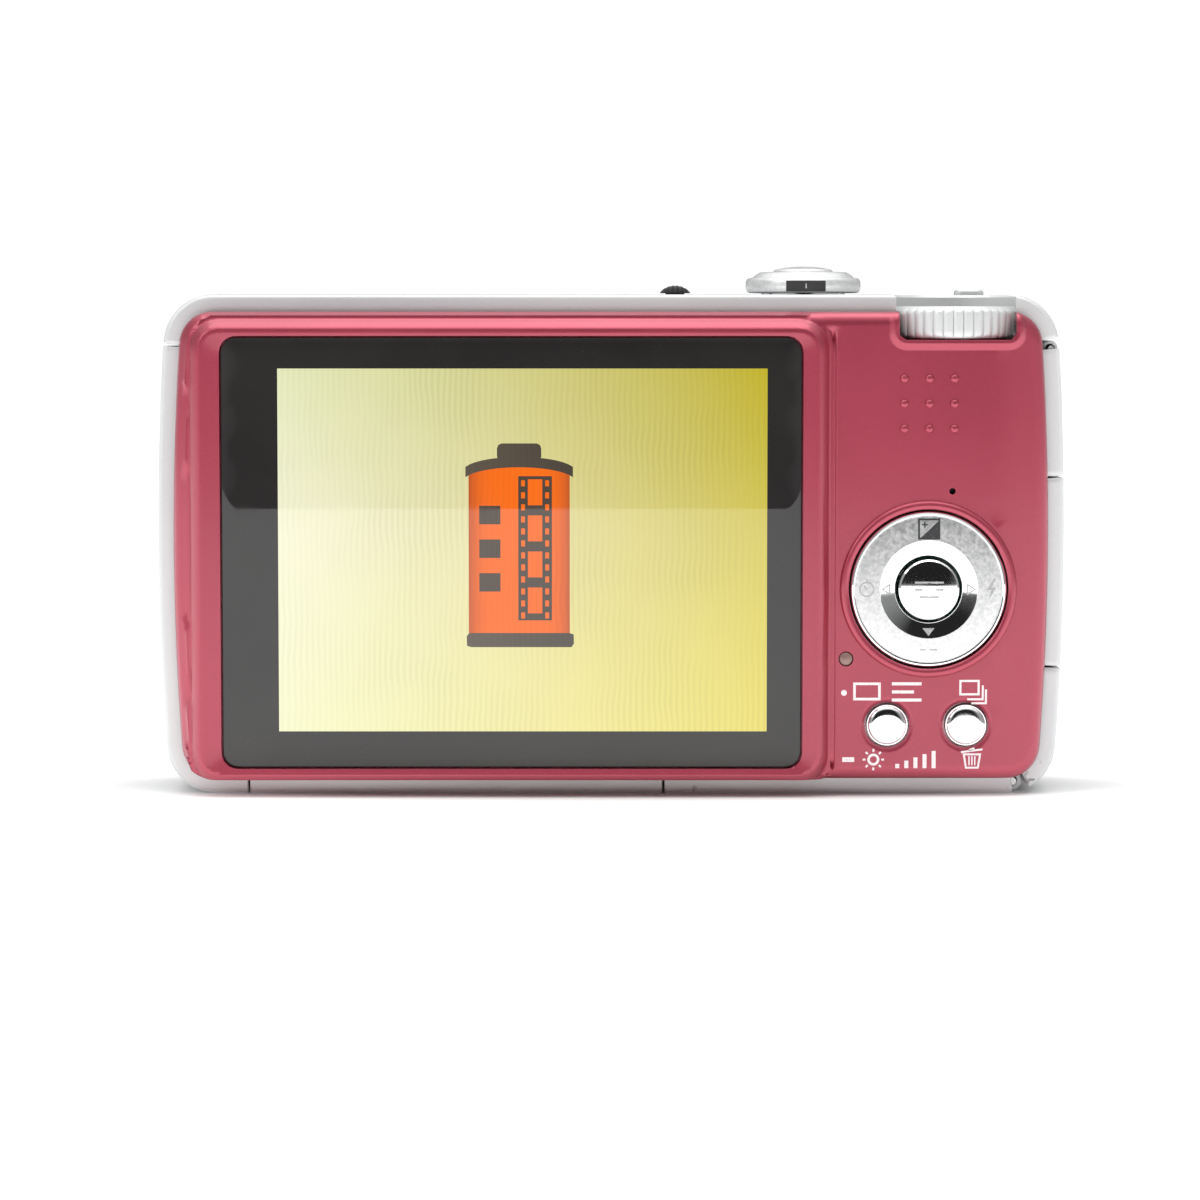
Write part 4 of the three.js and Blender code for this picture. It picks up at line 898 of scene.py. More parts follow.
def band_part(start, end, step=0.5):
    """A strip of the band: a channel section with a rounded outside and a lip behind each cover, carried
    along the outline, with its ends eased."""
    rear, front = BAND[0][1], BAND[1][1]
    section = rounded_profile([(0, rear), (0, front), (LIP_REACH, front), (LIP_REACH, front - 0.4),
                               (BAND_WALL, front - 0.4), (BAND_WALL, rear + 0.4), (LIP_REACH, rear + 0.4),
                               (LIP_REACH, rear)], [0.62, 0.62, 0.1, 0.1, 0.1, 0.1, 0.1, 0.1], 7)
    middle = np.array([BAND_WALL / 2, (rear + front) / 2])
    at, normal = path_piece(start, end, step)
    ease = np.zeros(len(at))
    ease[[0, -1]] = 0.14
    ease[[1, -2]] = 0.04
    shrink = section[None] - ease[:, None, None] * np.sign(section - middle)[None]
    points = np.empty((len(at), len(section), 3))
    points[:, :, 0] = at[:, None, 0] - shrink[:, :, 0] * normal[:, None, 0]
    points[:, :, 1] = shrink[:, :, 1]
    points[:, :, 2] = at[:, None, 1] - shrink[:, :, 0] * normal[:, None, 1]
    count = len(section)
    faces = grid_faces(len(at), count).tolist()
    last = (len(at) - 1) * count
    faces += [list(range(count)), list(range(last, last + count))]
    return points.reshape(-1, 3), faces


TERMINAL_PIN = box_mm("terminal_door_pin")
RIGHT_SEAM = (TERMINAL_PIN[0][2] + TERMINAL_PIN[1][2]) / 2 + 1.1
LEFT_SEAM = BAND[1][2] + SEAM
STRAP_BAR = box_mm("strap_bar")
STRAP = box_mm("strap_plate")
CORNER = box_mm("right_corner_cover")
DOOR = box_mm("battery_door")
PLATE = box_mm("bottom_plate")
TERMINAL = box_mm("terminal_door")
ZOOM = box_mm("zoom_ring")
ZOOM_X = (ZOOM[0][0] + ZOOM[1][0]) / 2
SLIDER = box_mm("power_slider")
SLIDER_X = (SLIDER[0][0] + SLIDER[1][0]) / 2
STEADY = box_mm("stabiliser_button")
STEADY_MIDDLE = ((STEADY[0] + STEADY[1]) / 2)[:2]
STEADY_Y = 4.5
SOCKET = box_mm("tripod_socket")
SOCKET_MIDDLE = ((SOCKET[0] + SOCKET[1]) / 2)[:2]
SPEAKER = box_mm("speaker")
SPEAKER_MIDDLE = ((SPEAKER[0] + SPEAKER[1]) / 2)[:2]
LEVER = box_mm("release_lever")
MIC = box_mm("microphone")
MIC_X = (MIC[0][0] + MIC[1][0]) / 2
PATH_LENGTH = float(np.sum(np.linalg.norm(np.diff(BODY_PATH[0], axis=0), axis=1)))
SCREW_NODES = ["screw_bottom_1", "screw_bottom_2", "screw_left_1", "screw_left_2", "screw_right_1",
               "screw_right_2"]


def make_silver_paint():
    """Silver paint: bright fine flake over aluminium, soft smudges, and dark chips along its rear edge."""
    material, tree, shader, vector = new_material("silver_paint")
    wear = place_wear(tree, vector, 45.0, 2200.0)
    drift = ramp_between(tree, noise(tree, vector, 30.0, 2.0), 0.3, 0.7)
    base = mix_colour(tree, drift, (0.72, 0.73, 0.73), (0.66, 0.67, 0.68))
    flakes = tree.nodes.new("ShaderNodeTexVoronoi")
    flakes.inputs["Scale"].default_value = 14000.0
    tree.links.new(vector, flakes.inputs["Vector"])
    base = mix_colour(tree, ramp_between(tree, flakes.outputs["Color"], 0.7, 1.0, 0.0, 0.25), base,
                      (0.95, 0.95, 0.95))
    split = tree.nodes.new("ShaderNodeSeparateXYZ")
    tree.links.new(vector, split.inputs[0])
    edge = ramp_between(tree, split.outputs["Y"], (BAND[0][1] + 0.7) * MM, (BAND[0][1] + 0.1) * MM)
    low = ramp_between(tree, split.outputs["Z"], 0.004, 0.001)
    chips = ramp_between(tree, noise(tree, vector, 900.0, 3.0), 0.60, 0.64)
    chips = math_node(tree, "MULTIPLY", math_node(tree, "MULTIPLY", chips, edge), low)
    from_seam = math_node(tree, "ABSOLUTE", math_node(tree, "SUBTRACT", split.outputs["X"],
                                                      (PLATE[1][0] + 1.0) * MM))
    near_seam = ramp_between(tree, from_seam, 0.0035, 0.0010)
    corner = ramp_between(tree, split.outputs["X"], (CORNER[0][0] - 2.5) * MM, (CORNER[0][0] + 1.0) * MM)
    chips = math_node(tree, "MULTIPLY", chips, math_node(tree, "MAXIMUM", near_seam, corner))
    base = mix_colour(tree, chips, base, (0.16, 0.15, 0.15))
    base = mix_colour(tree, math_node(tree, "MULTIPLY", wear.outputs["Dust"], 0.4), base, (0.45, 0.43, 0.41))
    tree.links.new(base, shader.inputs["Base Color"])
    gloss = ramp_between(tree, wear.outputs["Smudge"], 0.0, 1.0, 0.30, 0.42)
    tree.links.new(gloss, shader.inputs["Roughness"])
    shader.inputs["Metallic"].default_value = 0.2
    shader.inputs["Coat Weight"].default_value = 0.3
    shader.inputs["Coat Roughness"].default_value = 0.1
    height = math_node(tree, "SUBTRACT", wear.outputs["Peel"], chips)
    bump_into(tree, shader, height, 0.12, 0.00003)
    return material


SILVER_PAINT = make_silver_paint()


def screw_frame(node):
    """Where a screw's head lies and which axis and sense it faces."""
    low, high = box_mm(node)
    middle = (low + high) / 2
    if "bottom" in node:
        return (middle[0], middle[1], low[2]), 2, -1
    if "left" in node:
        return (low[0], middle[1], middle[2]), 0, -1
    return (high[0], middle[1], middle[2]), 0, 1


def screw_pockets(words):
    """Pockets for the heads of the screws whose names hold a word, eased at the surface."""
    pockets = []
    for node in SCREW_NODES:
        if words in node:
            place, axis, sense = screw_frame(node)
            flat = [place[k] for k in range(3) if k != axis]
            loop, normals = round_loop(flat, 1.3, 32)
            levels = [(place[axis] - sense * 0.75, 0.0), (place[axis] + sense * 0.0, 0.0),
                      (place[axis] + sense * 0.35, 0.25)]
            pockets.append(carry(loop, normals, levels, axis))
    return pockets


def make_band():
    """The five fixed strips; all but the corner cover are cut with their own holes."""
    top = make_piece("silver_top_cover", [band_part(path_place("right", RIGHT_SEAM),
                                                    path_place("left", LEFT_SEAM))], SILVER_PAINT, "case",
                     ["top_cover"])
    holes = []
    loop, normals = round_loop(DIAL_MIDDLE[:2], 7.3, 160)
    holes.append(carry(loop, normals, [(HEIGHT - 5, 0), (HEIGHT - 0.25, 0), (HEIGHT + 0.15, 0.35)], 2))
    loop, normals = round_loop((ZOOM_X, BAND_MID_Y), 4.7, 96)
    holes.append(carry(loop, normals, [(HEIGHT - 5, 0), (HEIGHT + 1, 0)], 2))
    loop, normals = rounded_rectangle((SLIDER_X - 4.3, BAND_MID_Y - 1.1), (SLIDER_X + 1.3, BAND_MID_Y + 1.1),
                                      0.8, 0.3)
    holes.append(carry(loop, normals, [(HEIGHT - 5, 0), (HEIGHT - 0.15, 0), (HEIGHT + 0.1, 0.25)], 2))
    loop, normals = rounded_rectangle((STEADY_MIDDLE[0] - 1.75, STEADY_Y - 1.4),
                                      (STEADY_MIDDLE[0] + 1.75, STEADY_Y + 1.4), 1.0, 0.3)
    holes.append(carry(loop, normals, [(HEIGHT - 5, 0), (HEIGHT - 0.15, 0), (HEIGHT + 0.1, 0.25)], 2))
    loop, normals = rounded_rectangle((MIC_X - 1.05, BAND_MID_Y - 0.3), (MIC_X + 1.05, BAND_MID_Y + 0.3),
                                      0.29, 0.15)
    holes.append(carry(loop, normals, [(HEIGHT - 5, 0), (HEIGHT - 0.1, 0), (HEIGHT + 0.1, 0.2)], 2))
    cut(top, holes)

    low_left = PATH_LENGTH + PLATE[0][0] - SEAM
    left = make_piece("silver_left_band", [band_part(path_place("left", LEFT_SEAM - SEAM), low_left)],
                      SILVER_PAINT, "case", ["left_band"])
    cut(left, screw_pockets("left"))

    base = make_piece("silver_base_plate", [band_part(PATH_LENGTH + PLATE[0][0], PATH_LENGTH + PLATE[1][0])],
                      SILVER_PAINT, "case", ["bottom_plate"])
    holes = screw_pockets("bottom")
    loop, normals = round_loop(SOCKET_MIDDLE, 5.2, 96)
    holes.append(carry(loop, normals, [(2.0, 0), (0.15, 0), (-0.1, 0.25)], 2))
    for index in range(7):
        angle = index * math.pi / 3
        reach = 1.9 if index < 6 else 0.0
        middle = SPEAKER_MIDDLE + reach * np.array([math.cos(angle), math.sin(angle)])
        loop, normals = round_loop(middle, 0.5, 20)
        holes.append(carry(loop, normals, [(2.0, 0), (0.12, 0), (-0.1, 0.22)], 2))
    cut(base, holes)

    make_piece("silver_corner_cover", [band_part(CORNER[0][0] + 0.5, path_place("right", CORNER[1][2]))],
               SILVER_PAINT, "case", ["right_corner_cover"])

    strap = make_piece("silver_strap_plate",
                       [band_part(path_place("right", STRAP[0][2]), path_place("right", STRAP[1][2]))],
                       SILVER_PAINT, "case", ["strap_plate"])
    loop, normals = rounded_rectangle((BAND_MID_Y - 1.7, STRAP_BAR[0][2] + 1.0),
                                      (BAND_MID_Y + 1.7, STRAP_BAR[1][2] - 1.0), 1.0, 0.3)
    slot = carry(loop, normals, [(HALF_WIDTH - 3, 0), (HALF_WIDTH - 0.3, 0), (HALF_WIDTH + 0.25, 0.45)], 0)
    cut(strap, screw_pockets("right") + [slot])


make_band()


# ---------------------------------------------------------------- doors of the band
# The terminal door swings up on a pin under the top cover, and the battery door swings down on a pin at
# the right end of the base. Both are silver-painted pressings with a rolled knuckle round a steel pin.

DOOR_PIN = box_mm("battery_door_pin")


def lathe(profile, centre, axis, count=96, ripple=None, closed=False):
    """A surface turned about an axis. Each profile point is a radius and a place on the axis; the ripple
    (one number for each turn step and profile point) is taken off the radius."""
    profile = np.asarray(profile, float)
    angle = np.arange(count) * 2 * math.pi / count
    radius = np.tile(profile[:, 0], (count, 1))
    if ripple is not None:
        radius = radius - ripple
    points = np.empty((count, len(profile), 3))
    across = [k for k in range(3) if k != axis]
    points[:, :, across[0]] = centre[0] + radius * np.cos(angle)[:, None]
    points[:, :, across[1]] = centre[1] + radius * np.sin(angle)[:, None]
    points[:, :, axis] = profile[:, 1]
    return points.reshape(-1, 3), grid_faces(count, len(profile), True, closed)


def knuckle(pin, radius, bore):
    """A rolled knuckle: a tube about a pin that lies along y, with eased rims and two shallow grooves."""
    middle = ((pin[0] + pin[1]) / 2)[[0, 2]]
    low, high = pin[0][1] + 1.0, pin[1][1] - 1.0
    third = (high - low) / 3
    profile = [(bore, low), (radius - 0.12, low), (radius, low + 0.12)]
    for place in (low + third, high - third):
        profile += [(radius, place - 0.12), (radius - 0.12, place), (radius, place + 0.12)]
    profile += [(radius, high - 0.12), (radius - 0.12, high), (bore, high)]
    return lathe(profile, middle, 1, 40, None, True)


def make_doors():
    """Both door strips with their knuckles; the battery door also has a slot for its release lever."""
    terminal = [band_part(path_place("right", TERMINAL[0][2]),
                          path_place("right", (TERMINAL_PIN[0][2] + TERMINAL_PIN[1][2]) / 2)),
                knuckle(TERMINAL_PIN, 0.85, 0.5)]
    make_piece("silver_terminal_door", terminal, SILVER_PAINT, "terminal_door",
               ["terminal_door"])
    strip = band_part(DOOR[0][0], (DOOR_PIN[0][0] + DOOR_PIN[1][0]) / 2)
    door = make_piece("silver_battery_door", [strip], SILVER_PAINT, "battery_door",
                      ["battery_door"])
    lever_x = (LEVER[0][0] + LEVER[1][0]) / 2
    loop, normals = rounded_rectangle((lever_x - 2.4, BAND_MID_Y - 1.9),
                                      (lever_x + 2.2 + 2.4 + 0.2, BAND_MID_Y + 1.9), 0.4, 0.4)
    cut(door, [carry(loop, normals, [(2.5, 0), (0.12, 0), (-0.1, 0.22)], 2)])
    make_piece("battery_door_knuckle", [knuckle(DOOR_PIN, 1.1, 0.6)], SILVER_PAINT, "battery_door")


make_doors()


# ---------------------------------------------------------------- screws
# Six small plated steel screws with crossed recesses hold the band to the chassis, two in the base and
# two in each side. Their heads lie in pockets just below the paint.


def make_steel():
    """Plated steel: fine turned scratches, a faint yellow drift and worn dull patches."""
    material, tree, shader, vector = new_material("plated_steel")
    wear = place_wear(tree, vector, 300.0, 3000.0)
    base = mix_colour(tree, wear.outputs["Smudge"], (0.60, 0.60, 0.61), (0.47, 0.46, 0.44))
    tree.links.new(base, shader.inputs["Base Color"])
    scratch = noise(tree, vector, 5200.0, 4.0)
    gloss = math_node(tree, "ADD", ramp_between(tree, scratch, 0.3, 0.7, 0.0, 0.16), 0.24)
    tree.links.new(gloss, shader.inputs["Roughness"])
    shader.inputs["Metallic"].default_value = 1.0
    bump_into(tree, shader, scratch, 0.15, 0.00001)
    return material


STEEL = make_steel()


def make_screws():
    """One turned head and shank for each screw, with a crossed recess cut in."""
    for node in SCREW_NODES:
        place, axis, sense = screw_frame(node)
        flat = [place[k] for k in range(3) if k != axis]
        top = place[axis]
        profile = [(0, top - sense * 0.02), (0.75, top - sense * 0.02), (0.98, top - sense * 0.10),
                   (1.09, top - sense * 0.25), (1.09, top - sense * 0.48), (0.6, top - sense * 0.52),
                   (0.55, top - sense * 2.3), (0, top - sense * 2.38)]
        screw = make_piece(node + "_cross_head", [lathe(profile, flat, axis, 40)], STEEL, "case",
                           [node])
        recess = []
        for half in ((0.62, 0.14), (0.14, 0.62)):
            low = (flat[0] - half[0], flat[1] - half[1])
            high = (flat[0] + half[0], flat[1] + half[1])
            loop, normals = rounded_rectangle(low, high, 0.1, 0.2)
            recess.append(carry(loop, normals, [(top - sense * 0.36, -0.05), (top + sense * 0.3, 0.03)],
                                axis))
        cut(screw, recess)


make_screws()


# ---------------------------------------------------------------- strap bar and tripod socket
# The strap bar is a turned steel pin behind the side slot. The tripod socket is a steel insert in the base
# with a threaded bore; the cut thread shows as fine rings.


def make_base_metal():
    """The waisted strap bar, and the socket's insert with ringed bore."""
    low, high = STRAP_BAR
    middle = ((low + high) / 2)[:2]
    height = np.linspace(low[2] + 0.3, high[2] - 0.3, 24)
    waist = 0.56 + 0.14 * np.abs(2 * (height - height.mean()) / (height[-1] - height[0])) ** 3
    profile = [(0, low[2]), (0.5, low[2]), *zip(waist, height), (0.5, high[2]), (0, high[2])]
    make_piece("strap_bar_pin", [lathe(profile, middle, 2, 32)], STEEL, "case", ["strap_bar"])
    turns = 11
    thread_z = np.linspace(0.45, 5.4, 2 * turns + 1)
    thread_r = 3.02 + 0.26 * (np.arange(2 * turns + 1) % 2)
    top = SOCKET[1][2]
    profile = [(0, 5.5), (2.95, 5.5), *list(zip(thread_r, thread_z))[::-1], (3.35, 0.02), (4.75, 0.02),
               (4.97, 0.22), (4.97, top - 0.2), (4.8, top), (0, top)]
    make_piece("tripod_insert", [lathe(profile, SOCKET_MIDDLE, 2, 96)], STEEL, "case",
               ["tripod_socket"])


make_base_metal()


# ---------------------------------------------------------------- screen window
# A hard-coated window with a black printed border is glued over the lit display. The playback picture, a
# film cartridge on a yellow ground, is shown by the display and seen through the clear middle.

ACTIVE_LOW = WINDOW_LOW + np.array([5.9, 3.8])
ACTIVE_HIGH = ACTIVE_LOW + np.array([50.8, 37.75])
CAN_LOW = WINDOW_LOW + np.array([25.7, 14.0])
CAN_HIGH = CAN_LOW + np.array([10.5, 16.9])
CAN_STRIP_X = CAN_LOW[0] + 6.9
CAN_BARS_X = CAN_LOW[0] + 2.2
CAN_MIDDLE_Z = CAN_LOW[1] + 8.9
CAN_X = (CAN_LOW[0] + CAN_HIGH[0]) / 2


def box_points(x0, z0, x1, z1):
    """The corners of an upright rectangle."""
    return [(x0, z0), (x1, z0), (x1, z1), (x0, z1)]


def window_gloss(name, wear_scale=55.0):
    """The start of every window finish: hard clear coat over black, with finger smudges in its gloss."""
    material, tree, shader, vector = new_material(name)
    wear = place_wear(tree, vector, wear_scale, 2400.0)
    shader.inputs["Metallic"].default_value = 0.0
    shader.inputs["IOR"].default_value = 1.52
    gloss = ramp_between(tree, wear.outputs["Smudge"], 0.3, 1.0, 0.008, 0.05)
    tree.links.new(gloss, shader.inputs["Roughness"])
    return material, tree, shader, vector, wear


def make_border_finish():
    """The black printed border: near black, a shade lighter in soft patches, with a few dust specks."""
    material, tree, shader, vector, wear = window_gloss("window_border")
    base = mix_colour(tree, wear.outputs["Smudge"], (0.021, 0.019, 0.019), (0.027, 0.026, 0.025))
    base = mix_colour(tree, math_node(tree, "MULTIPLY", wear.outputs["Dust"], 0.5), base, (0.35, 0.34, 0.33))
    tree.links.new(base, shader.inputs["Base Color"])
    return material


def moire(tree, vector):
    """Fine upright stripes with a slow wobble, as a number near 1."""
    wave = tree.nodes.new("ShaderNodeTexWave")
    wave.bands_direction = "X"
    wave.inputs["Scale"].default_value = 520.0
    wave.inputs["Distortion"].default_value = 5.0
    wave.inputs["Detail"].default_value = 1.0
    wave.inputs["Detail Scale"].default_value = 0.35
    tree.links.new(vector, wave.inputs["Vector"])
    patches = ramp_between(tree, noise(tree, vector, 90.0, 2.0), 0.35, 0.65, 0.02, 0.10)
    dip = math_node(tree, "MULTIPLY", wave.outputs["Fac"], patches)
    return math_node(tree, "SUBTRACT", 1.0, dip)


def screen_finish(name, colour_of, strength=1.0):
    """A lit part of the picture: black under the coat, with an emission colour of its own."""
    material, tree, shader, vector, wear = window_gloss(name)
    shader.inputs["Base Color"].default_value = (0.004, 0.004, 0.004, 1)
    colour = colour_of(tree, vector)
    grain = moire(tree, vector)
    lit = tree.nodes.new("ShaderNodeVectorMath")
    lit.operation = "SCALE"
    tree.links.new(colour, lit.inputs[0])
    tree.links.new(grain, lit.inputs["Scale"])
    tree.links.new(lit.outputs[0], shader.inputs["Emission Color"])
    shader.inputs["Emission Strength"].default_value = strength
    return material


def picture_ground(tree, vector):
    """Pale at the lower left, deep yellow at the upper right."""
    split = tree.nodes.new("ShaderNodeSeparateXYZ")
    tree.links.new(vector, split.inputs[0])
    across = ramp_between(tree, split.outputs["X"], ACTIVE_LOW[0] * MM, ACTIVE_HIGH[0] * MM)
    up = ramp_between(tree, split.outputs["Z"], ACTIVE_LOW[1] * MM, ACTIVE_HIGH[1] * MM)
    eased = math_node(tree, "POWER", across, 0.85)
    low = mix_colour(tree, eased, (0.91, 0.92, 0.60), (0.83, 0.72, 0.15))
    high = mix_colour(tree, eased, (0.80, 0.84, 0.52), (0.55, 0.46, 0.025))
    middle = mix_colour(tree, eased, (0.92, 0.91, 0.68), (0.66, 0.57, 0.10))
    lower = mix_colour(tree, ramp_between(tree, up, 0.0, 0.55), low, middle)
    return mix_colour(tree, ramp_between(tree, up, 0.55, 1.0), lower, high)


def cartridge_body(tree, vector):
    """Orange, deeper towards its sides like a cylinder, with a dark film-strip print and three bars."""
    split = tree.nodes.new("ShaderNodeSeparateXYZ")
    tree.links.new(vector, split.inputs[0])
    x = split.outputs["X"]
    z = split.outputs["Z"]
    across = ramp_between(tree, x, CAN_LOW[0] * MM, CAN_HIGH[0] * MM, -1.0, 1.0)
    curve = math_node(tree, "POWER", math_node(tree, "ABSOLUTE", across), 5.0)
    base = mix_colour(tree, curve, (0.98, 0.165, 0.008), (0.55, 0.10, 0.02))
    inset = math_node(tree, "ABSOLUTE", math_node(tree, "SUBTRACT", x, CAN_STRIP_X * MM))
    tall = math_node(tree, "ABSOLUTE", math_node(tree, "SUBTRACT", z, CAN_MIDDLE_Z * MM))
    strip = math_node(tree, "MULTIPLY", math_node(tree, "LESS_THAN", inset, 1.75 * MM),
                      math_node(tree, "LESS_THAN", tall, 7.5 * MM))
    beat = math_node(tree, "FRACT", math_node(tree, "MULTIPLY", z, 1000 / 1.25))
    hole = math_node(tree, "MULTIPLY", math_node(tree, "GREATER_THAN", inset, 1.05 * MM),
                     math_node(tree, "LESS_THAN", inset, 1.45 * MM))
    hole = math_node(tree, "MULTIPLY", hole, math_node(tree, "LESS_THAN", beat, 0.5))
    gate = math_node(tree, "FRACT", math_node(tree, "MULTIPLY", z, 1000 / 3.75))
    frame_gap = math_node(tree, "MULTIPLY", math_node(tree, "LESS_THAN", inset, 0.75 * MM),
                          math_node(tree, "LESS_THAN", math_node(tree, "ABSOLUTE",
                                                                 math_node(tree, "SUBTRACT", gate, 0.5)),
                                    0.36))
    open_part = math_node(tree, "MAXIMUM", hole, frame_gap)
    mark = math_node(tree, "MULTIPLY", strip, math_node(tree, "SUBTRACT", 1.0, open_part))
    aside = math_node(tree, "ABSOLUTE", math_node(tree, "SUBTRACT", x, CAN_BARS_X * MM))
    run = math_node(tree, "ABSOLUTE", math_node(tree, "SUBTRACT", z, CAN_MIDDLE_Z * MM))
    stack = math_node(tree, "FRACT", math_node(tree, "MULTIPLY",
                                               math_node(tree, "SUBTRACT", z, (CAN_MIDDLE_Z - 4.5) * MM),
                                               1000 / 3.5))
    bars = math_node(tree, "MULTIPLY", math_node(tree, "LESS_THAN", aside, 1.1 * MM),
                     math_node(tree, "LESS_THAN", run, 5.0 * MM))
    bars = math_node(tree, "MULTIPLY", bars, math_node(tree, "LESS_THAN", stack, 0.55))
    mark = math_node(tree, "MAXIMUM", mark, bars)
    return mix_colour(tree, mark, base, (0.085, 0.06, 0.045))


def cartridge_caps(tree, vector):
    """Warm dark grey, a little lighter towards the left."""
    split = tree.nodes.new("ShaderNodeSeparateXYZ")
    tree.links.new(vector, split.inputs[0])
    across = ramp_between(tree, split.outputs["X"], CAN_LOW[0] * MM, CAN_HIGH[0] * MM)
    return mix_colour(tree, across, (0.115, 0.090, 0.068), (0.075, 0.060, 0.045))


def make_window():
    """A bevelled slab whose front is parted into border, ground, cartridge and caps."""
    rear_y, front_y = WINDOW[1][1], WINDOW[0][1]
    loop, normals = rounded_rectangle(WINDOW_LOW, WINDOW_HIGH, WINDOW_CORNER, 0.8)
    ease = 0.14
    flat = loop - ease * normals
    active = np.array(box_points(*ACTIVE_LOW, *ACTIVE_HIGH))
    sweep = np.linspace(-1, 1, 25)
    half = (CAN_HIGH[0] - CAN_LOW[0]) / 2 + 0.33
    arch = 1.5 * (1 - np.sqrt(1 - (0.95 * sweep) ** 2))
    inner = half - 0.33
    shoulder = CAN_HIGH[1] + 0.44 - 1.5 * (1 - np.sqrt(1 - (0.95 * sweep * inner / half) ** 2))
    crown = np.stack([CAN_X + inner * sweep, shoulder], axis=1)
    can = np.concatenate([[(CAN_LOW[0], CAN_LOW[1]), (CAN_HIGH[0], CAN_LOW[1])], crown[::-1]])
    upper = np.stack([CAN_X + half * sweep, CAN_HIGH[1] + 1.5 - arch], axis=1)
    under = np.stack([CAN_X + half * sweep, CAN_HIGH[1] + 0.42 - arch], axis=1)
    top_cap = np.concatenate([under, upper[::-1]])
    low_cap = rounded_rectangle((CAN_LOW[0] - 0.22, CAN_LOW[1] - 1.4),
                                (CAN_HIGH[0] + 0.42, CAN_LOW[1] + 0.08), 0.25, 0.5)[0]
    nub = rounded_rectangle((CAN_X - 2.3, CAN_HIGH[1] + 1.0), (CAN_X + 2.3, CAN_HIGH[1] + 2.9), 0.5, 0.4)[0]
    shapes = [active, can, top_cap, low_cap, nub]
    sheet, faces = sheet_of_triangles(flat, [], shapes, 3.0)
    count = len(loop)
    rings = []
    for place, out in ((front_y, ease), (front_y + 0.05, 0.05), (front_y + ease, 0.0), (rear_y, 0.0)):
        ring = loop - out * normals
        rings.append(np.stack([ring[:, 0], np.full(count, place), ring[:, 1]], axis=1))
    sides = (np.concatenate(rings), grid_faces(4, count))
    last = np.stack([loop[:, 0], np.full(count, rear_y), loop[:, 1]], axis=1)
    front = (np.stack([sheet[:, 0], np.full(len(sheet), front_y), sheet[:, 1]], axis=1), faces)
    window = make_piece("screen_window_lit", [front, sides, (last, [list(range(count))])], None, "case",
                        ["lcd_window"], 30)
    finishes = [make_border_finish(), screen_finish("picture_ground", picture_ground),
                screen_finish("picture_cartridge", cartridge_body),
                screen_finish("picture_caps", cartridge_caps)]
    for finish in finishes:
        window.data.materials.append(finish)
    centres = np.empty(len(window.data.polygons) * 3)
    window.data.polygons.foreach_get("center", centres)
    centres = centres.reshape(-1, 3) / MM
    places = centres[:, [0, 2]]
    index = np.zeros(len(centres), int)
    at_front = centres[:, 1] < front_y + 0.001
    index[at_front & inside(places, active)] = 1
    index[at_front & inside(places, can)] = 2
    for cap in (top_cap, low_cap, nub):
        index[at_front & inside(places, cap)] = 3
    window.data.polygons.foreach_set("material_index", index.tolist())


make_window()


# ---------------------------------------------------------------- cursor pad and its keys
# The pad is a plated disc: a satin granular ring with a polished rim and a dished polished ring inside. The
# set key stands in its bore, and two small domed keys stand below it. All are chrome-plated plastic.

SET = box_mm("set_button")
SET_RADIUS = (SET[1][0] - SET[0][0]) / 2


def make_chrome(name, colour=(0.86, 0.87, 0.88), rough=0.05):
    """Bright plating with hair scratches and faint finger film."""
    material, tree, shader, vector = new_material(name)
    wear = place_wear(tree, vector, 180.0, 3000.0)
    base = mix_colour(tree, math_node(tree, "MULTIPLY", wear.outputs["Smudge"], 0.3), colour,
                      (0.70, 0.70, 0.69))
    tree.links.new(base, shader.inputs["Base Color"])
    hair = tree.nodes.new("ShaderNodeTexNoise")
    hair.inputs["Scale"].default_value = 3000.0
    hair.inputs["Detail"].default_value = 5.0
    stretch = tree.nodes.new("ShaderNodeMapping")
    stretch.inputs["Scale"].default_value = (1.0, 1.0, 0.12)
    tree.links.new(vector, stretch.inputs["Vector"])
    tree.links.new(stretch.outputs[0], hair.inputs["Vector"])
    gloss = ramp_between(tree, wear.outputs["Smudge"], 0.2, 1.0, rough, rough + 0.06)
    tree.links.new(gloss, shader.inputs["Roughness"])
    shader.inputs["Metallic"].default_value = 1.0
    bump_into(tree, shader, hair.outputs["Fac"], 0.03, 0.00001)
    return material


def make_satin_plate(name, metallic, dark, bright):
    """Satin plating with a coarse granular sparkle and a few specks of dust."""
    material, tree, shader, vector = new_material(name)
    wear = place_wear(tree, vector, 120.0, 2400.0)
    grain = noise(tree, vector, 2600.0, 2.0, 0.6)
    base = mix_colour(tree, ramp_between(tree, grain, 0.35, 0.68), dark, bright)
    base = mix_colour(tree, math_node(tree, "MULTIPLY", wear.outputs["Dust"], 0.3), base, (0.4, 0.39, 0.37))
    tree.links.new(base, shader.inputs["Base Color"])
    gloss = ramp_between(tree, grain, 0.3, 0.7, 0.30, 0.42)
    tree.links.new(gloss, shader.inputs["Roughness"])
    shader.inputs["Metallic"].default_value = metallic
    bump_into(tree, shader, grain, 0.25, 0.00003)
    return material


CHROME = make_chrome("bright_plating")
SATIN_PLATE = make_satin_plate("satin_plating", 0.9, (0.60, 0.61, 0.61), (0.82, 0.82, 0.82))


def assign_by_radius(piece, centre, axis, bands):
    """Gives faces a material index by how far their middles lie from an axis."""
    count = len(piece.data.polygons)
    centres = np.empty(count * 3)
    piece.data.polygons.foreach_get("center", centres)
    centres = centres.reshape(-1, 3) / MM
    across = [k for k in range(3) if k != axis]
    reach = np.hypot(centres[:, across[0]] - centre[0], centres[:, across[1]] - centre[1])
    index = np.zeros(count, int)
    for low, high, slot_index in bands:
        index[(reach > low) & (reach < high)] = slot_index
    piece.data.polygons.foreach_set("material_index", index.tolist())


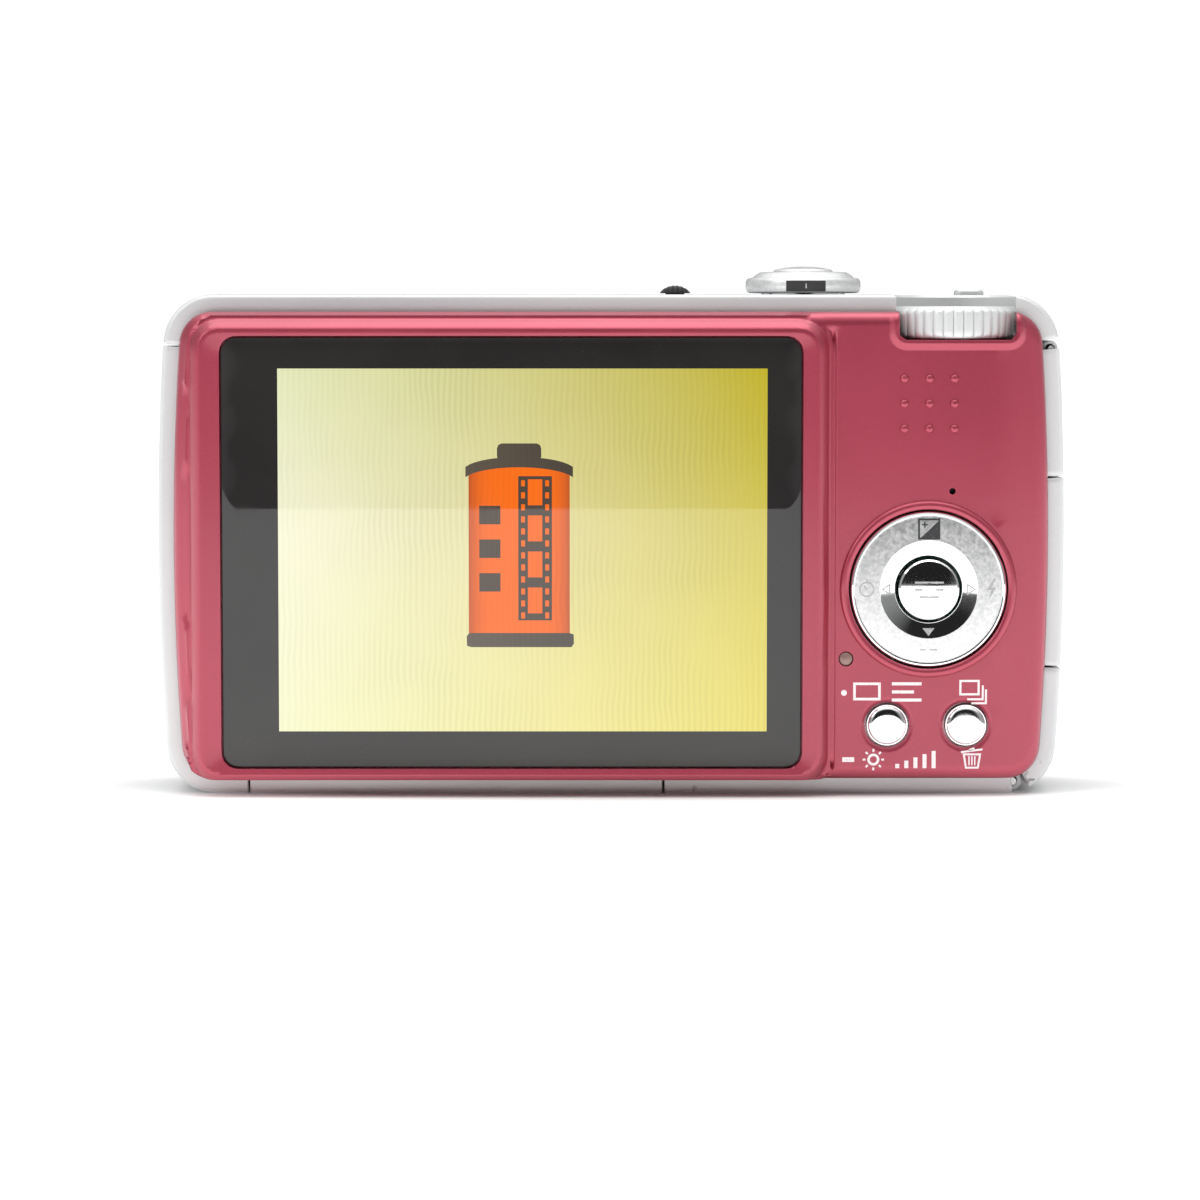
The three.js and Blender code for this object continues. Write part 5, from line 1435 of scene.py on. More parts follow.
def domed_key_profile(front, side, rear, radius, flat_radius, edge_power):
    """From the middle of a key's face outwards: a shallow dome that bends down faster near its edge, then
    the side, then a flange and a closed rear."""
    reach = np.linspace(0, radius - 0.12, 30)
    sag = reach ** 2 / (2 * flat_radius) + edge_power * reach ** 12
    profile = list(zip(reach, front + sag))
    profile += [(radius - 0.03, side - 0.15), (radius, side), (radius, rear - 0.5),
                (radius + 0.5, rear - 0.4), (radius + 0.5, rear), (0, rear)]
    return profile


def annulus_sag(reach):
    """How far the pad's satin ring falls back from its highest depth: a slope that steepens outwards."""
    return 0.02 + 0.055 * (reach - 5.2) + 0.004 * (reach - 5.2) ** 3


def dish_sag(reach):
    """How far the pad's polished dish falls back towards the set key: a straight cone."""
    return 0.03 + 0.215 * (5.02 - reach)


def make_pad_and_keys():
    """The pad, the set key and both small keys, turned about their own middles."""
    front = PAD[0][1]
    reach = np.linspace(5.2, 7.62, 12)
    annulus = front + annulus_sag(reach)
    dish = np.linspace(3.55, 5.02, 8)
    inner = front + dish_sag(dish)
    profile = [(3.62 - 0.02, PAD[1][1]), (3.55, front + 0.6), (3.50, front + 0.40), *zip(dish, inner),
               (5.10, front + 0.01), *zip(reach, annulus), (7.70, front + 0.21), (7.82, front + 0.17),
               (7.98, front + 0.24), (8.12, front + 0.42), (8.15, front + 0.6), (8.15, front + 0.95),
               (8.0, front + 1.0), (4.9, front + 1.02), (4.8, PAD[1][1])]
    pad = make_piece("cursor_pad_disc", [lathe(profile, PAD_MIDDLE, 1, 180, None, True)], CHROME, "pad",
                     ["cursor_pad"], 25)
    pad.data.materials.append(SATIN_PLATE)
    assign_by_radius(pad, PAD_MIDDLE, 1, [(5.12, 7.66, 1)])

    reach = np.linspace(0, SET_RADIUS - 0.25, 18)
    top = SET[0][1]
    profile = [*zip(reach, top + reach ** 2 / (2 * 24.0)), (SET_RADIUS - 0.08, top + 0.32),
               (SET_RADIUS, top + 0.55), (SET_RADIUS, SET[1][1] - 0.1), (SET_RADIUS - 0.1, SET[1][1]),
               (0, SET[1][1])]
    make_piece("set_key_dome", [lathe(profile, PAD_MIDDLE, 1, 96)], CHROME, "set_key",
               ["set_button"], 30)

    keys = (("display_key_dome", "display_key", "display_button", DISPLAY_KEY, KEY_MIDDLES[0]),
            ("burst_key_dome", "burst_key", "burst_button", BURST_KEY, KEY_MIDDLES[1]))
    for name, body, node, key, middle in keys:
        profile = domed_key_profile(key[0][1], key[0][1] + 0.55, key[1][1], KEY_RADIUS, 26.0, 6.6e-5)
        make_piece(name, [lathe(profile, middle, 1, 72)], CHROME, body, [node], 30)


make_pad_and_keys()


# ---------------------------------------------------------------- status lamp
# A small moulded lens over a light-emitting diode, flush with the panel and smoke-brown while it is off.


def make_lamp_plastic():
    """Smoky moulded plastic with darker cloud inside and a soft gloss."""
    material, tree, shader, vector = new_material("smoke_lens")
    cloud = noise(tree, vector, 1500.0, 3.0)
    base = mix_colour(tree, cloud, (0.20, 0.115, 0.10), (0.34, 0.21, 0.185))
    tree.links.new(base, shader.inputs["Base Color"])
    tree.links.new(ramp_between(tree, cloud, 0.3, 0.7, 0.18, 0.34), shader.inputs["Roughness"])
    shader.inputs["Coat Weight"].default_value = 0.4
    bump_into(tree, shader, cloud, 0.1, 0.00002)
    return material


LAMP_PLASTIC = make_lamp_plastic()


def make_lamp():
    """A low dome with an eased edge."""
    top = LAMP[0][1]
    reach = np.linspace(0, 0.6, 8)
    profile = [*zip(reach, top + 0.10 * (reach / 0.6) ** 2), (0.69, top + 0.2), (0.7, LAMP[1][1] - 0.1),
               (0, LAMP[1][1])]
    make_piece("status_lamp_lens", [lathe(profile, LAMP_MIDDLE, 1, 40)], LAMP_PLASTIC, "case",
               ["status_lamp"])


make_lamp()


# ---------------------------------------------------------------- printed marks
# Small pictures printed on the panel and the pad in white or black ink: screen, list, light, bars, frames,
# bin, exposure, timer and flash. The ink stands a few hundredths of a millimetre proud.


def stroke(points, width, low, high, closed=False):
    """An inked line: a path widened by half its width to each side with mitred corners, and given a
    thickness."""
    points = np.asarray(points, float)
    if closed:
        before = points - np.roll(points, 1, axis=0)
        after = np.roll(points, -1, axis=0) - points
    else:
        step = np.diff(points, axis=0)
        before = np.concatenate([step[:1], step])
        after = np.concatenate([step, step[-1:]])
    before = before / np.linalg.norm(before, axis=1, keepdims=True)
    after = after / np.linalg.norm(after, axis=1, keepdims=True)
    normal = np.stack([-(before + after)[:, 1], (before + after)[:, 0]], axis=1)
    length = np.linalg.norm(normal, axis=1, keepdims=True)
    normal = normal / length
    side = np.stack([-before[:, 1], before[:, 0]], axis=1)
    miter = width / 2 / np.maximum(0.35, np.sum(normal * side, axis=1, keepdims=True))
    left = points + normal * miter
    right = points - normal * miter
    count = len(points)
    corners = np.empty((count, 4, 3))
    for k, (edge, place) in enumerate(((left, low), (left, high), (right, high), (right, low))):
        corners[:, k, 0] = edge[:, 0]
        corners[:, k, 1] = place
        corners[:, k, 2] = edge[:, 1]
    faces = grid_faces(count, 4, closed, True).tolist()
    if not closed:
        last = 4 * (count - 1)
        faces += [[0, 1, 2, 3], [last, last + 1, last + 2, last + 3]]
    return corners.reshape(-1, 3), faces


def filled(points, low, high):
    """An inked area inside a closed loop."""
    return prism(np.asarray(points, float), low, high)


def make_ink(name, colour, fade):
    """Matt ink that thins a little in specks, over a faint grain."""
    material, tree, shader, vector = new_material(name)
    grain = noise(tree, vector, 4200.0, 3.0)
    base = mix_colour(tree, ramp_between(tree, grain, 0.58, 0.72), colour, fade)
    tree.links.new(base, shader.inputs["Base Color"])
    tree.links.new(ramp_between(tree, grain, 0.3, 0.7, 0.38, 0.55), shader.inputs["Roughness"])
    bump_into(tree, shader, grain, 0.1, 0.00001)
    return material


WHITE_INK = make_ink("white_ink", (0.93, 0.85, 0.86), (0.80, 0.60, 0.63))
BLACK_INK = make_ink("black_ink", (0.035, 0.035, 0.038), (0.12, 0.12, 0.12))
GREY_INK = make_ink("grey_ink", (0.42, 0.42, 0.43), (0.62, 0.62, 0.62))


def panel_marks():
    """Two rows of white marks beside and below the small keys."""
    low, high = PANEL_Y - 0.025, PANEL_Y + 0.05
    left = PAD_MIDDLE[0] - 8.75
    row = KEY_MIDDLES[0][1] + 3.45
    pen = 0.27
    parts = [filled(circle((left, row - 0.1), 0.3, 20), low, high)]
    parts.append(stroke(box_points(left + 1.1, row - 0.75, left + 3.7, row + 0.85), pen, low, high, True))
    for index, length in enumerate((3.1, 2.3, 3.1)):
        height = row + 0.85 - 0.85 * index
        parts.append(stroke([(left + 5.0, height), (left + 5.0 + length, height)], 0.32, low, high))
    frames_x = KEY_MIDDLES[1][0] - 0.55
    parts.append(stroke(box_points(frames_x, row - 0.25, frames_x + 1.9, row + 1.15), 0.22, low, high, True))
    for shift in (0.42, 0.84):
        corner = [(frames_x + 0.3 + shift, row - 0.35 - shift),
                  (frames_x + 2.0 + shift * 0.8, row - 0.35 - shift),
                  (frames_x + 2.0 + shift * 0.8, row + 1.1 - shift)]
        parts.append(stroke(corner, 0.2, low, high))
    row = KEY_MIDDLES[0][1] - 3.65
    parts.append(stroke([(left - 0.15, row), (left + 1.1, row)], 0.5, low, high))
    sun = np.array([left + 3.1, row])
    parts.append(stroke(circle(sun, 0.5, 24), pen, low, high, True))
    for index in range(8):
        angle = index * math.pi / 4
        way = np.array([math.cos(angle), math.sin(angle)])
        parts.append(stroke([sun + 0.82 * way, sun + 1.12 * way], 0.2, low, high))
    for index in range(5):
        x = left + 5.6 + 0.95 * index
        parts.append(stroke([(x, row - 0.9), (x, row - 0.45 + 0.34 * index)], 0.42, low, high))
    bin_x = KEY_MIDDLES[1][0] + 0.7
    parts.append(stroke([(bin_x - 0.85, row + 0.55), (bin_x - 0.62, row - 0.85), (bin_x + 0.62, row - 0.85),
                         (bin_x + 0.85, row + 0.55)], 0.2, low, high, True))
    parts.append(stroke([(bin_x - 1.15, row + 0.78), (bin_x + 1.1, row + 1.08)], 0.2, low, high))
    parts.append(stroke([(bin_x - 0.3, row + 0.98), (bin_x + 0.25, row + 1.2)], 0.22, low, high))
    for shift in (-0.3, 0.0, 0.3):
        parts.append(stroke([(bin_x + shift, row - 0.6), (bin_x + shift, row + 0.35)], 0.14, low, high))
    make_piece("panel_marks", parts, WHITE_INK, "case", (), 30, False)


def onto_pad(part):
    """Moves a mark made between depths 0 and 1 onto the pad's satin ring or its dish."""
    points, faces = part
    reach = np.hypot(points[:, 0] - PAD_MIDDLE[0], points[:, 2] - PAD_MIDDLE[1])
    surface = np.where(reach < 5.06, PAD[0][1] + dish_sag(reach), PAD[0][1] + annulus_sag(reach))
    points = points.copy()
    points[:, 1] = np.maximum(surface + np.where(points[:, 1] < 0.5, -0.02, 0.06), PAD[0][1])
    return points, faces


def pad_marks():
    """A black exposure sign at the top of the pad, with faint grey arrows, timer and flash signs."""
    middle = PAD_MIDDLE
    top = middle[1] + 6.3
    left = middle[0] - 1.05
    right = middle[0] + 1.05
    frame_sides = [(left, top - 1.0), (left, top), (left, top + 1.0), (middle[0], top + 1.0),
                   (right, top + 1.0), (right, top), (right, top - 1.0), (middle[0], top - 1.0)]
    black = [stroke(frame_sides, 0.2, 0, 1, True),
             filled([(left + 0.15, top - 0.95), (right - 0.1, top - 0.95), (right - 0.1, top + 0.8)], 0, 1),
             stroke([(left + 0.3, top + 0.45), (left + 0.9, top + 0.45)], 0.14, 0, 1),
             stroke([(left + 0.6, top + 0.15), (left + 0.6, top + 0.75)], 0.14, 0, 1)]
    black = [onto_pad(part) for part in black]
    make_piece("pad_marks_black", black, BLACK_INK, "pad", (), 30, False)
    timer = middle + np.array([-6.45, 0])
    grey = [stroke(circle(timer, 0.72, 28), 0.16, 0, 1, True),
            stroke([timer, timer + [-0.3, 0.4]], 0.16, 0, 1),
            stroke([timer + [0, 0.75], timer + [0, 1.05]], 0.16, 0, 1)]
    bolt = np.array([(0.35, 1.15), (-0.45, -0.05), (0.05, -0.05), (-0.25, -1.15), (0.6, 0.2), (0.1, 0.2),
                     (0.55, 1.15)])
    grey.append(filled(bolt + middle + [6.45, 0], 0, 1))
    for sign in (-1, 1):
        tip = np.array([(sign * 4.80, 0), (sign * 4.05, 0.5), (sign * 4.05, -0.5)])
        grey.append(stroke(tip + middle, 0.13, 0, 1, True))
    grey.append(filled(np.array([(0, -4.85), (-0.62, -4.05), (0.62, -4.05)]) + middle, 0, 1))
    grey.append(stroke([middle + [-0.9, -6.3], middle + [-0.3, -6.3]], 0.13, 0, 1))
    grey.append(stroke([middle + [0.1, -6.3], middle + [0.9, -6.3]], 0.13, 0, 1))
    grey = [onto_pad(part) for part in grey]
    make_piece("pad_marks_grey", grey, GREY_INK, "pad", (), 30, False)
    lines = []
    for index, half in enumerate((1.5, 1.5, 1.0)):
        height = middle[1] + 0.75 - 0.75 * index
        lines.append(stroke([(middle[0] - half, height), (middle[0] + half, height)], 0.2, SET[0][1] + 0.01,
                            SET[0][1] + 0.2))
    make_piece("set_key_marks", lines, GREY_INK, "set_key", (), 30, False)


panel_marks()
pad_marks()


# ---------------------------------------------------------------- mode dial
# A silver-painted moulded wheel with forty rounded flutes, lying in the corner behind the shutter button.
# Its flat top carries small printed symbols.


def make_dial():
    """The fluted rim turned about the dial's middle, and its ring of printed symbols."""
    top = DIAL[1][2]
    low = DIAL_LOW
    count = 640
    angle = np.arange(count) * 2 * math.pi / count
    flute = 0.30 * (1 - np.abs(np.cos(20 * angle)) ** 0.45)
    profile = [(0, DIAL[0][2]), (1.8, DIAL[0][2]), (1.8, low), (6.3, low), (6.75, low + 0.12),
               (6.98, low + 0.42), (7.0, low + 0.8), (7.0, top - 0.95), (6.97, top - 0.62),
               (6.80, top - 0.42), (6.62, top - 0.30), (6.42, top - 0.06), (6.25, top), (5.7, top),
               (5.55, top - 0.12), (2.4, top - 0.12), (2.2, top - 0.22), (0, top - 0.24)]
    weight = np.array([0, 0, 0, 0, 0.3, 0.9, 1, 1, 0.9, 0.5, 0.1, 0, 0, 0, 0, 0, 0, 0])
    ripple = flute[:, None] * weight[None, :]
    wheel = lathe(profile, DIAL_MIDDLE[:2], 2, count, ripple)
    make_piece("mode_dial_wheel", [wheel], SILVER_PAINT, "dial", ["mode_dial"], 50)
    marks = []
    level = (top - 0.14, top - 0.09)
    for index in range(9):
        turn = index * 2 * math.pi / 9 + math.pi / 2
        middle = DIAL_MIDDLE[:2] + 4.2 * np.array([math.cos(turn), math.sin(turn)])
        if index % 3 == 0:
            loop, normals = round_loop(middle, 0.55, 24)
        elif index % 3 == 1:
            loop, normals = rounded_rectangle(middle - 0.5, middle + 0.5, 0.12, 0.2)
        else:
            points = middle + 0.68 * np.stack([np.cos(turn + np.arange(3) * 2.0944),
                                               np.sin(turn + np.arange(3) * 2.0944)], axis=1)
            loop, normals = points, np.zeros((3, 2))
        marks.append(carry(loop, normals, [(level[0], 0), (level[1], 0)], 2))
    make_piece("mode_dial_marks", marks, BLACK_INK, "dial", (), 30, False)


make_dial()


# ---------------------------------------------------------------- zoom ring and shutter button
# A satin ring with a polished inner edge and a finger tab in front turns about the shutter button, which is a
# satin domed cap. The ring's rear rim holds a dark inlay with a fine tick.

SHUTTER = box_mm("shutter_button")


def make_black_plastic():
    """Moulded black plastic with a fine spark-eroded grain and slightly greyer worn places."""
    material, tree, shader, vector = new_material("black_plastic")
    wear = place_wear(tree, vector, 140.0, 2500.0)
    base = mix_colour(tree, wear.outputs["Smudge"], (0.018, 0.018, 0.019), (0.035, 0.035, 0.036))
    base = mix_colour(tree, math_node(tree, "MULTIPLY", wear.outputs["Dust"], 0.4), base, (0.3, 0.3, 0.3))
    tree.links.new(base, shader.inputs["Base Color"])
    grain = noise(tree, vector, 6000.0, 2.0)
    tree.links.new(ramp_between(tree, grain, 0.3, 0.7, 0.38, 0.55), shader.inputs["Roughness"])
    bump_into(tree, shader, grain, 0.25, 0.00003)
    return material


BLACK_PLASTIC = make_black_plastic()
BRUSHED = make_satin_plate("satin_metal", 0.5, (0.74, 0.75, 0.75), (0.86, 0.86, 0.86))


def make_zoom_and_shutter():
    """The ring with its tab, its inlay, and the button cap."""
    low = HEIGHT + SEAM
    rim = HEIGHT + 1.8
    cone = HEIGHT + 2.4
    reach = np.linspace(4.45, 5.4, 6)
    profile = [(3.5, HEIGHT - 1.8), (4.4, HEIGHT - 1.8), (4.4, low), (5.7, low), (5.95, low + 0.12),
               (6.08, low + 0.4), (6.1, low + 0.7), (6.08, rim - 0.45), (5.98, rim - 0.18),
               (5.78, rim - 0.04), (5.5, rim), *list(zip(reach,
                                                         cone - 0.6 * ((reach - 4.45) / 0.95) ** 1.5))[::-1],
               (4.2, cone), (3.75, cone - 0.03), (3.55, cone - 0.18), (3.5, cone - 0.4)]
    middle = (ZOOM_X, BAND_MID_Y)
    parts = [lathe(profile, middle, 2, 128, None, True)]
    tab = rounded_profile([(ZOOM_X - 1.6, BAND_MID_Y + 5.0), (ZOOM_X + 1.6, BAND_MID_Y + 5.0),
                           (ZOOM_X + 1.6, BAND_MID_Y + 7.7), (ZOOM_X - 1.6, BAND_MID_Y + 7.7)],
                          [0.01, 0.01, 0.9, 0.9], 7)
    edge = np.roll(tab, -1, axis=0) - np.roll(tab, 1, axis=0)
    normals = np.stack([edge[:, 1], -edge[:, 0]], axis=1)
    normals = normals / np.maximum(1e-9, np.linalg.norm(normals, axis=1, keepdims=True))
    parts.append(carry(tab, normals, soft_levels(low, rim - 0.02, 0.35), 2))
    ring = make_piece("zoom_ring_turned", parts, BRUSHED, "zoom_ring", ["zoom_ring"], 35)
    ring.data.materials.append(CHROME)
    assign_by_radius(ring, middle, 2, [(3.5, 4.5, 1)])
    angle = np.linspace(-0.345, 0.345, 25) - math.pi / 2
    points = []
    for radius, height in ((6.0, low + 0.12), (6.13, low + 0.16), (6.13, low + 1.22), (6.0, low + 1.26)):
        points.append(np.stack([ZOOM_X + radius * np.cos(angle), BAND_MID_Y + radius * np.sin(angle),
                                np.full(25, height)], axis=1))
    points = np.stack(points, axis=1).reshape(-1, 3)
    faces = grid_faces(25, 4, False, True).tolist() + [[0, 1, 2, 3], [96, 97, 98, 99]]
    make_piece("zoom_ring_inlay", [(points, faces)], BLACK_PLASTIC, "zoom_ring", (), 30)
    tick = stroke([(ZOOM_X, low + 0.45), (ZOOM_X, low + 0.95)], 0.14, BAND_MID_Y - 6.15, BAND_MID_Y - 6.05)
    make_piece("zoom_ring_tick", [tick], GREY_INK, "zoom_ring", (), 30, False)
    reach = np.linspace(0, 3.0, 14)
    top = SHUTTER[1][2]
    profile = [(0, SHUTTER[0][2]), (3.1, SHUTTER[0][2]), (3.2, SHUTTER[0][2] + 0.2), (3.2, cone - 0.1),
               (3.17, cone + 0.06), *list(zip(reach, top - 0.35 * (reach / 3.0) ** 2.4))[::-1]]
    make_piece("shutter_cap", [lathe(profile, middle, 2, 96)], BRUSHED, "shutter",
               ["shutter_button"], 35)


make_zoom_and_shutter()


# ---------------------------------------------------------------- power slider and small top key
# The slider is a ridged black plastic knob that runs in a slot. The small key near the front edge of the top
# is silver-painted and sits in a slotted hole.


def make_top_keys():
    """The slider's ridged hump with its neck and carriage, and the rounded key."""
    low = HEIGHT + SEAM
    top = SLIDER[1][2]
    columns = 41
    rows = 15
    u = np.linspace(-1, 1, columns)
    v = np.linspace(-1, 1, rows)
    across, deep = np.meshgrid(u, v, indexing="ij")
    hump = (1 - np.abs(across) ** 2.2) ** 0.8 * (1 - np.abs(deep) ** 6) ** 0.5
    ridges = 0.06 * (0.5 + 0.5 * np.cos(across * 7 * math.pi)) * (np.abs(across) < 0.72)
    height = low + (top - low) * np.clip(hump - ridges, 0, 1)
    half_x = (SLIDER[1][0] - SLIDER[0][0]) / 2 if SLIDER[1][0] - SLIDER[0][0] < 3.5 else 1.6
    upper = np.stack([SLIDER_X + half_x * across, BAND_MID_Y + 1.4 * deep, height], axis=-1).reshape(-1, 3)
    upper_faces = grid_faces(columns, rows, False, False)
    lower = upper.copy()
    lower[:, 2] = low - 0.02
    knob = (np.concatenate([upper, lower]), np.concatenate([upper_faces, upper_faces + len(upper)]))
    border = np.r_[np.arange(rows), np.arange(1, columns) * rows + rows - 1,
                   (columns - 1) * rows + np.arange(rows - 2, -1, -1), np.arange(columns - 2, 0, -1) * rows]
    rim_faces = np.stack([border, np.roll(border, -1), np.roll(border, -1) + len(upper), border + len(upper)],
                         axis=1)
    knob = (knob[0], np.concatenate([knob[1], rim_faces]))
    neck_loop, neck_normals = rounded_rectangle((SLIDER_X - 1.0, BAND_MID_Y - 0.8),
                                                (SLIDER_X + 1.0, BAND_MID_Y + 0.8), 0.3, 0.3)
    neck = carry(neck_loop, neck_normals, [(HEIGHT - 1.8, 0), (low, 0)], 2)
    plate_loop, plate_normals = rounded_rectangle((SLIDER_X - 2.0, BAND_MID_Y - 2.2),
                                                  (SLIDER_X + 2.0, BAND_MID_Y + 2.2), 0.3, 0.5)
    plate = carry(plate_loop, plate_normals, soft_levels(HEIGHT - 2.1, HEIGHT - 1.5, 0.12), 2)
    make_piece("power_slider_knob", [knob, neck, plate], BLACK_PLASTIC, "slider",
               ["power_slider"], 40)
    loop, normals = rounded_rectangle((STEADY_MIDDLE[0] - 1.55, STEADY_Y - 1.2),
                                      (STEADY_MIDDLE[0] + 1.55, STEADY_Y + 1.2), 0.8, 0.25)
    key = carry(loop, normals, soft_levels(STEADY[0][2], STEADY[1][2], 0.3, False, True), 2)
    flange_loop, flange_normals = rounded_rectangle((STEADY_MIDDLE[0] - 1.85, STEADY_Y - 1.5),
                                                    (STEADY_MIDDLE[0] + 1.85, STEADY_Y + 1.5), 0.8, 0.25)
    flange = carry(flange_loop, flange_normals, soft_levels(HEIGHT - 2.0, HEIGHT - 1.5, 0.1), 2)
    make_piece("small_top_key", [key, flange], SILVER_PAINT, "steady_key",
               ["stabiliser_button"], 40)


make_top_keys()


# ---------------------------------------------------------------- lens ring and barrels
# Turned and plated rings: a stepped ring on the front cover, then three barrels that slide out of it when
# the camera takes pictures, with a barrier of two blades over the front lens.


def barrel_profile(radius, rear, front, lip, flange):
    """Radius and depth of a barrel's outline, from the lip round the outside and back along the bore."""
    bore = radius - 1.1
    return [(lip, front - 0.12), (lip + 0.12, front), (radius - 0.45, front), (radius - 0.12, front - 0.12),
            (radius, front - 0.45), (radius, front - 1.0), (radius - 0.12, front - 1.06),
            (radius - 0.12, front - 1.26), (radius, front - 1.32), (radius, rear + 0.85),
            (flange, rear + 0.8), (flange, rear), (bore, rear), (bore, front - 0.6), (lip, front - 0.6)]


def make_lens():
    """The mount ring and the three barrels."""
    front = LENS_RING[1][1]
    rear = LENS_RING[0][1]
    mouth = 16.2
    profile = [(mouth, rear), (RING_RADIUS - 0.15, rear), (RING_RADIUS, rear + 0.15),
               (RING_RADIUS, rear + 0.75), (RING_RADIUS - 0.12, rear + 0.9),
               (RING_RADIUS - 0.35, rear + 0.95), (RING_RADIUS - 0.45, rear + 1.15),
               (RING_RADIUS - 0.45, front - 0.95), (RING_RADIUS - 0.55, front - 0.6),
               (RING_RADIUS - 0.85, front - 0.2), (RING_RADIUS - 1.25, front), (mouth + 0.5, front),
               (mouth + 0.15, front - 0.15), (mouth, front - 0.5)]
    count = 720
    angle = np.arange(count) * 2 * math.pi / count
    weight = np.array([0, 0, 0, 0, 0, 0.0, 1, 1, 0.4, 0, 0, 0, 0, 0])
    ripple = (0.07 * (0.5 + 0.5 * np.cos(angle * 180)))[:, None] * weight[None, :]
    ring = make_piece("lens_ring_turned", [lathe(profile, LENS_MIDDLE, 1, count, ripple, True)], CHROME,
                      "case", ["lens_ring"], 30)
    ring.data.materials.append(BRUSHED)
    assign_by_radius(ring, LENS_MIDDLE, 1, [(mouth + 0.55, RING_RADIUS - 1.3, 1)])
    rear_plane = box_mm("barrel_outer")[0][1]
    outer = barrel_profile(15.9, rear_plane, box_mm("barrel_outer")[1][1], 13.6, 16.2)
    make_piece("barrel_outer_turned", [lathe(outer, LENS_MIDDLE, 1, 160, None, True)], BLACK_PLASTIC,
               "outer_barrel", ["barrel_outer"], 30)
    middle = barrel_profile(13.3, box_mm("barrel_middle")[0][1], box_mm("barrel_middle")[1][1], 11.0, 14.5)
    make_piece("barrel_middle_turned", [lathe(middle, LENS_MIDDLE, 1, 160, None, True)], BRUSHED,
               "middle_barrel", ["barrel_middle"], 30)
    low, high = box_mm("barrel_inner")
    front = high[1]
    dish = np.linspace(4.05, 9.0, 10)
    cone = front - 0.42 * (1 - (dish - 4.05) / 4.95) ** 1.3 - 0.05
    inner = [(4.0, front - 0.6), (4.0, front - 0.52), *zip(dish, cone), (9.12, front - 0.02), (9.3, front),
             (10.3, front), (10.58, front - 0.12), (10.7, front - 0.4), (10.7, front - 1.0),
             (10.58, front - 1.06), (10.58, front - 1.26), (10.7, front - 1.32), (10.7, low[1] + 0.85),
             (11.9, low[1] + 0.8), (11.9, low[1]), (5.4, low[1]), (5.4, 9.65), (4.0, 9.65), (4.0, 10.35),
             (9.1, 10.35), (9.1, 11.2), (4.0, 11.2)]
    piece = make_piece("barrel_inner_turned", [lathe(inner, LENS_MIDDLE, 1, 160, None, True)], BRUSHED,
                       "inner_barrel", ["barrel_inner"], 30)
    piece.data.materials.append(BLACK_PLASTIC)
    assign_by_radius(piece, LENS_MIDDLE, 1, [(4.0, 9.05, 1)])


make_lens()


# ---------------------------------------------------------------- front lens element
# The first glass element behind the barrier: a polished dome with a dark coating that shines violet and
# green, held by its edge.


def make_front_lens():
    """A spherical cap on a short cylinder, with patches of coating colour."""
    material, tree, shader, vector = new_material("coated_glass")
    sheen = noise(tree, vector, 260.0, 1.5)
    base = mix_colour(tree, sheen, (0.012, 0.010, 0.022), (0.010, 0.020, 0.017))
    tree.links.new(base, shader.inputs["Base Color"])
    tree.links.new(mix_colour(tree, sheen, (0.55, 0.35, 0.95), (0.35, 0.85, 0.55)),
                   shader.inputs["Specular Tint"])
    tree.links.new(ramp_between(tree, sheen, 0.3, 0.7, 0.02, 0.045), shader.inputs["Roughness"])
    shader.inputs["Coat Weight"].default_value = 0.5
    low, high = box_mm("front_lens")
    reach = np.linspace(0, 4.9, 18)
    dome = high[1] - (22.0 - np.sqrt(22.0 ** 2 - reach ** 2)) * 1.3
    profile = [*zip(reach, dome), (5.15, dome[-1] - 0.15), (5.2, dome[-1] - 0.35), (5.2, low[1] + 0.1),
               (5.0, low[1]), (0, low[1])]
    make_piece("front_lens_dome", [lathe(profile, LENS_MIDDLE, 1, 96)], material, "inner_barrel",
               ["front_lens"], 30)


make_front_lens()
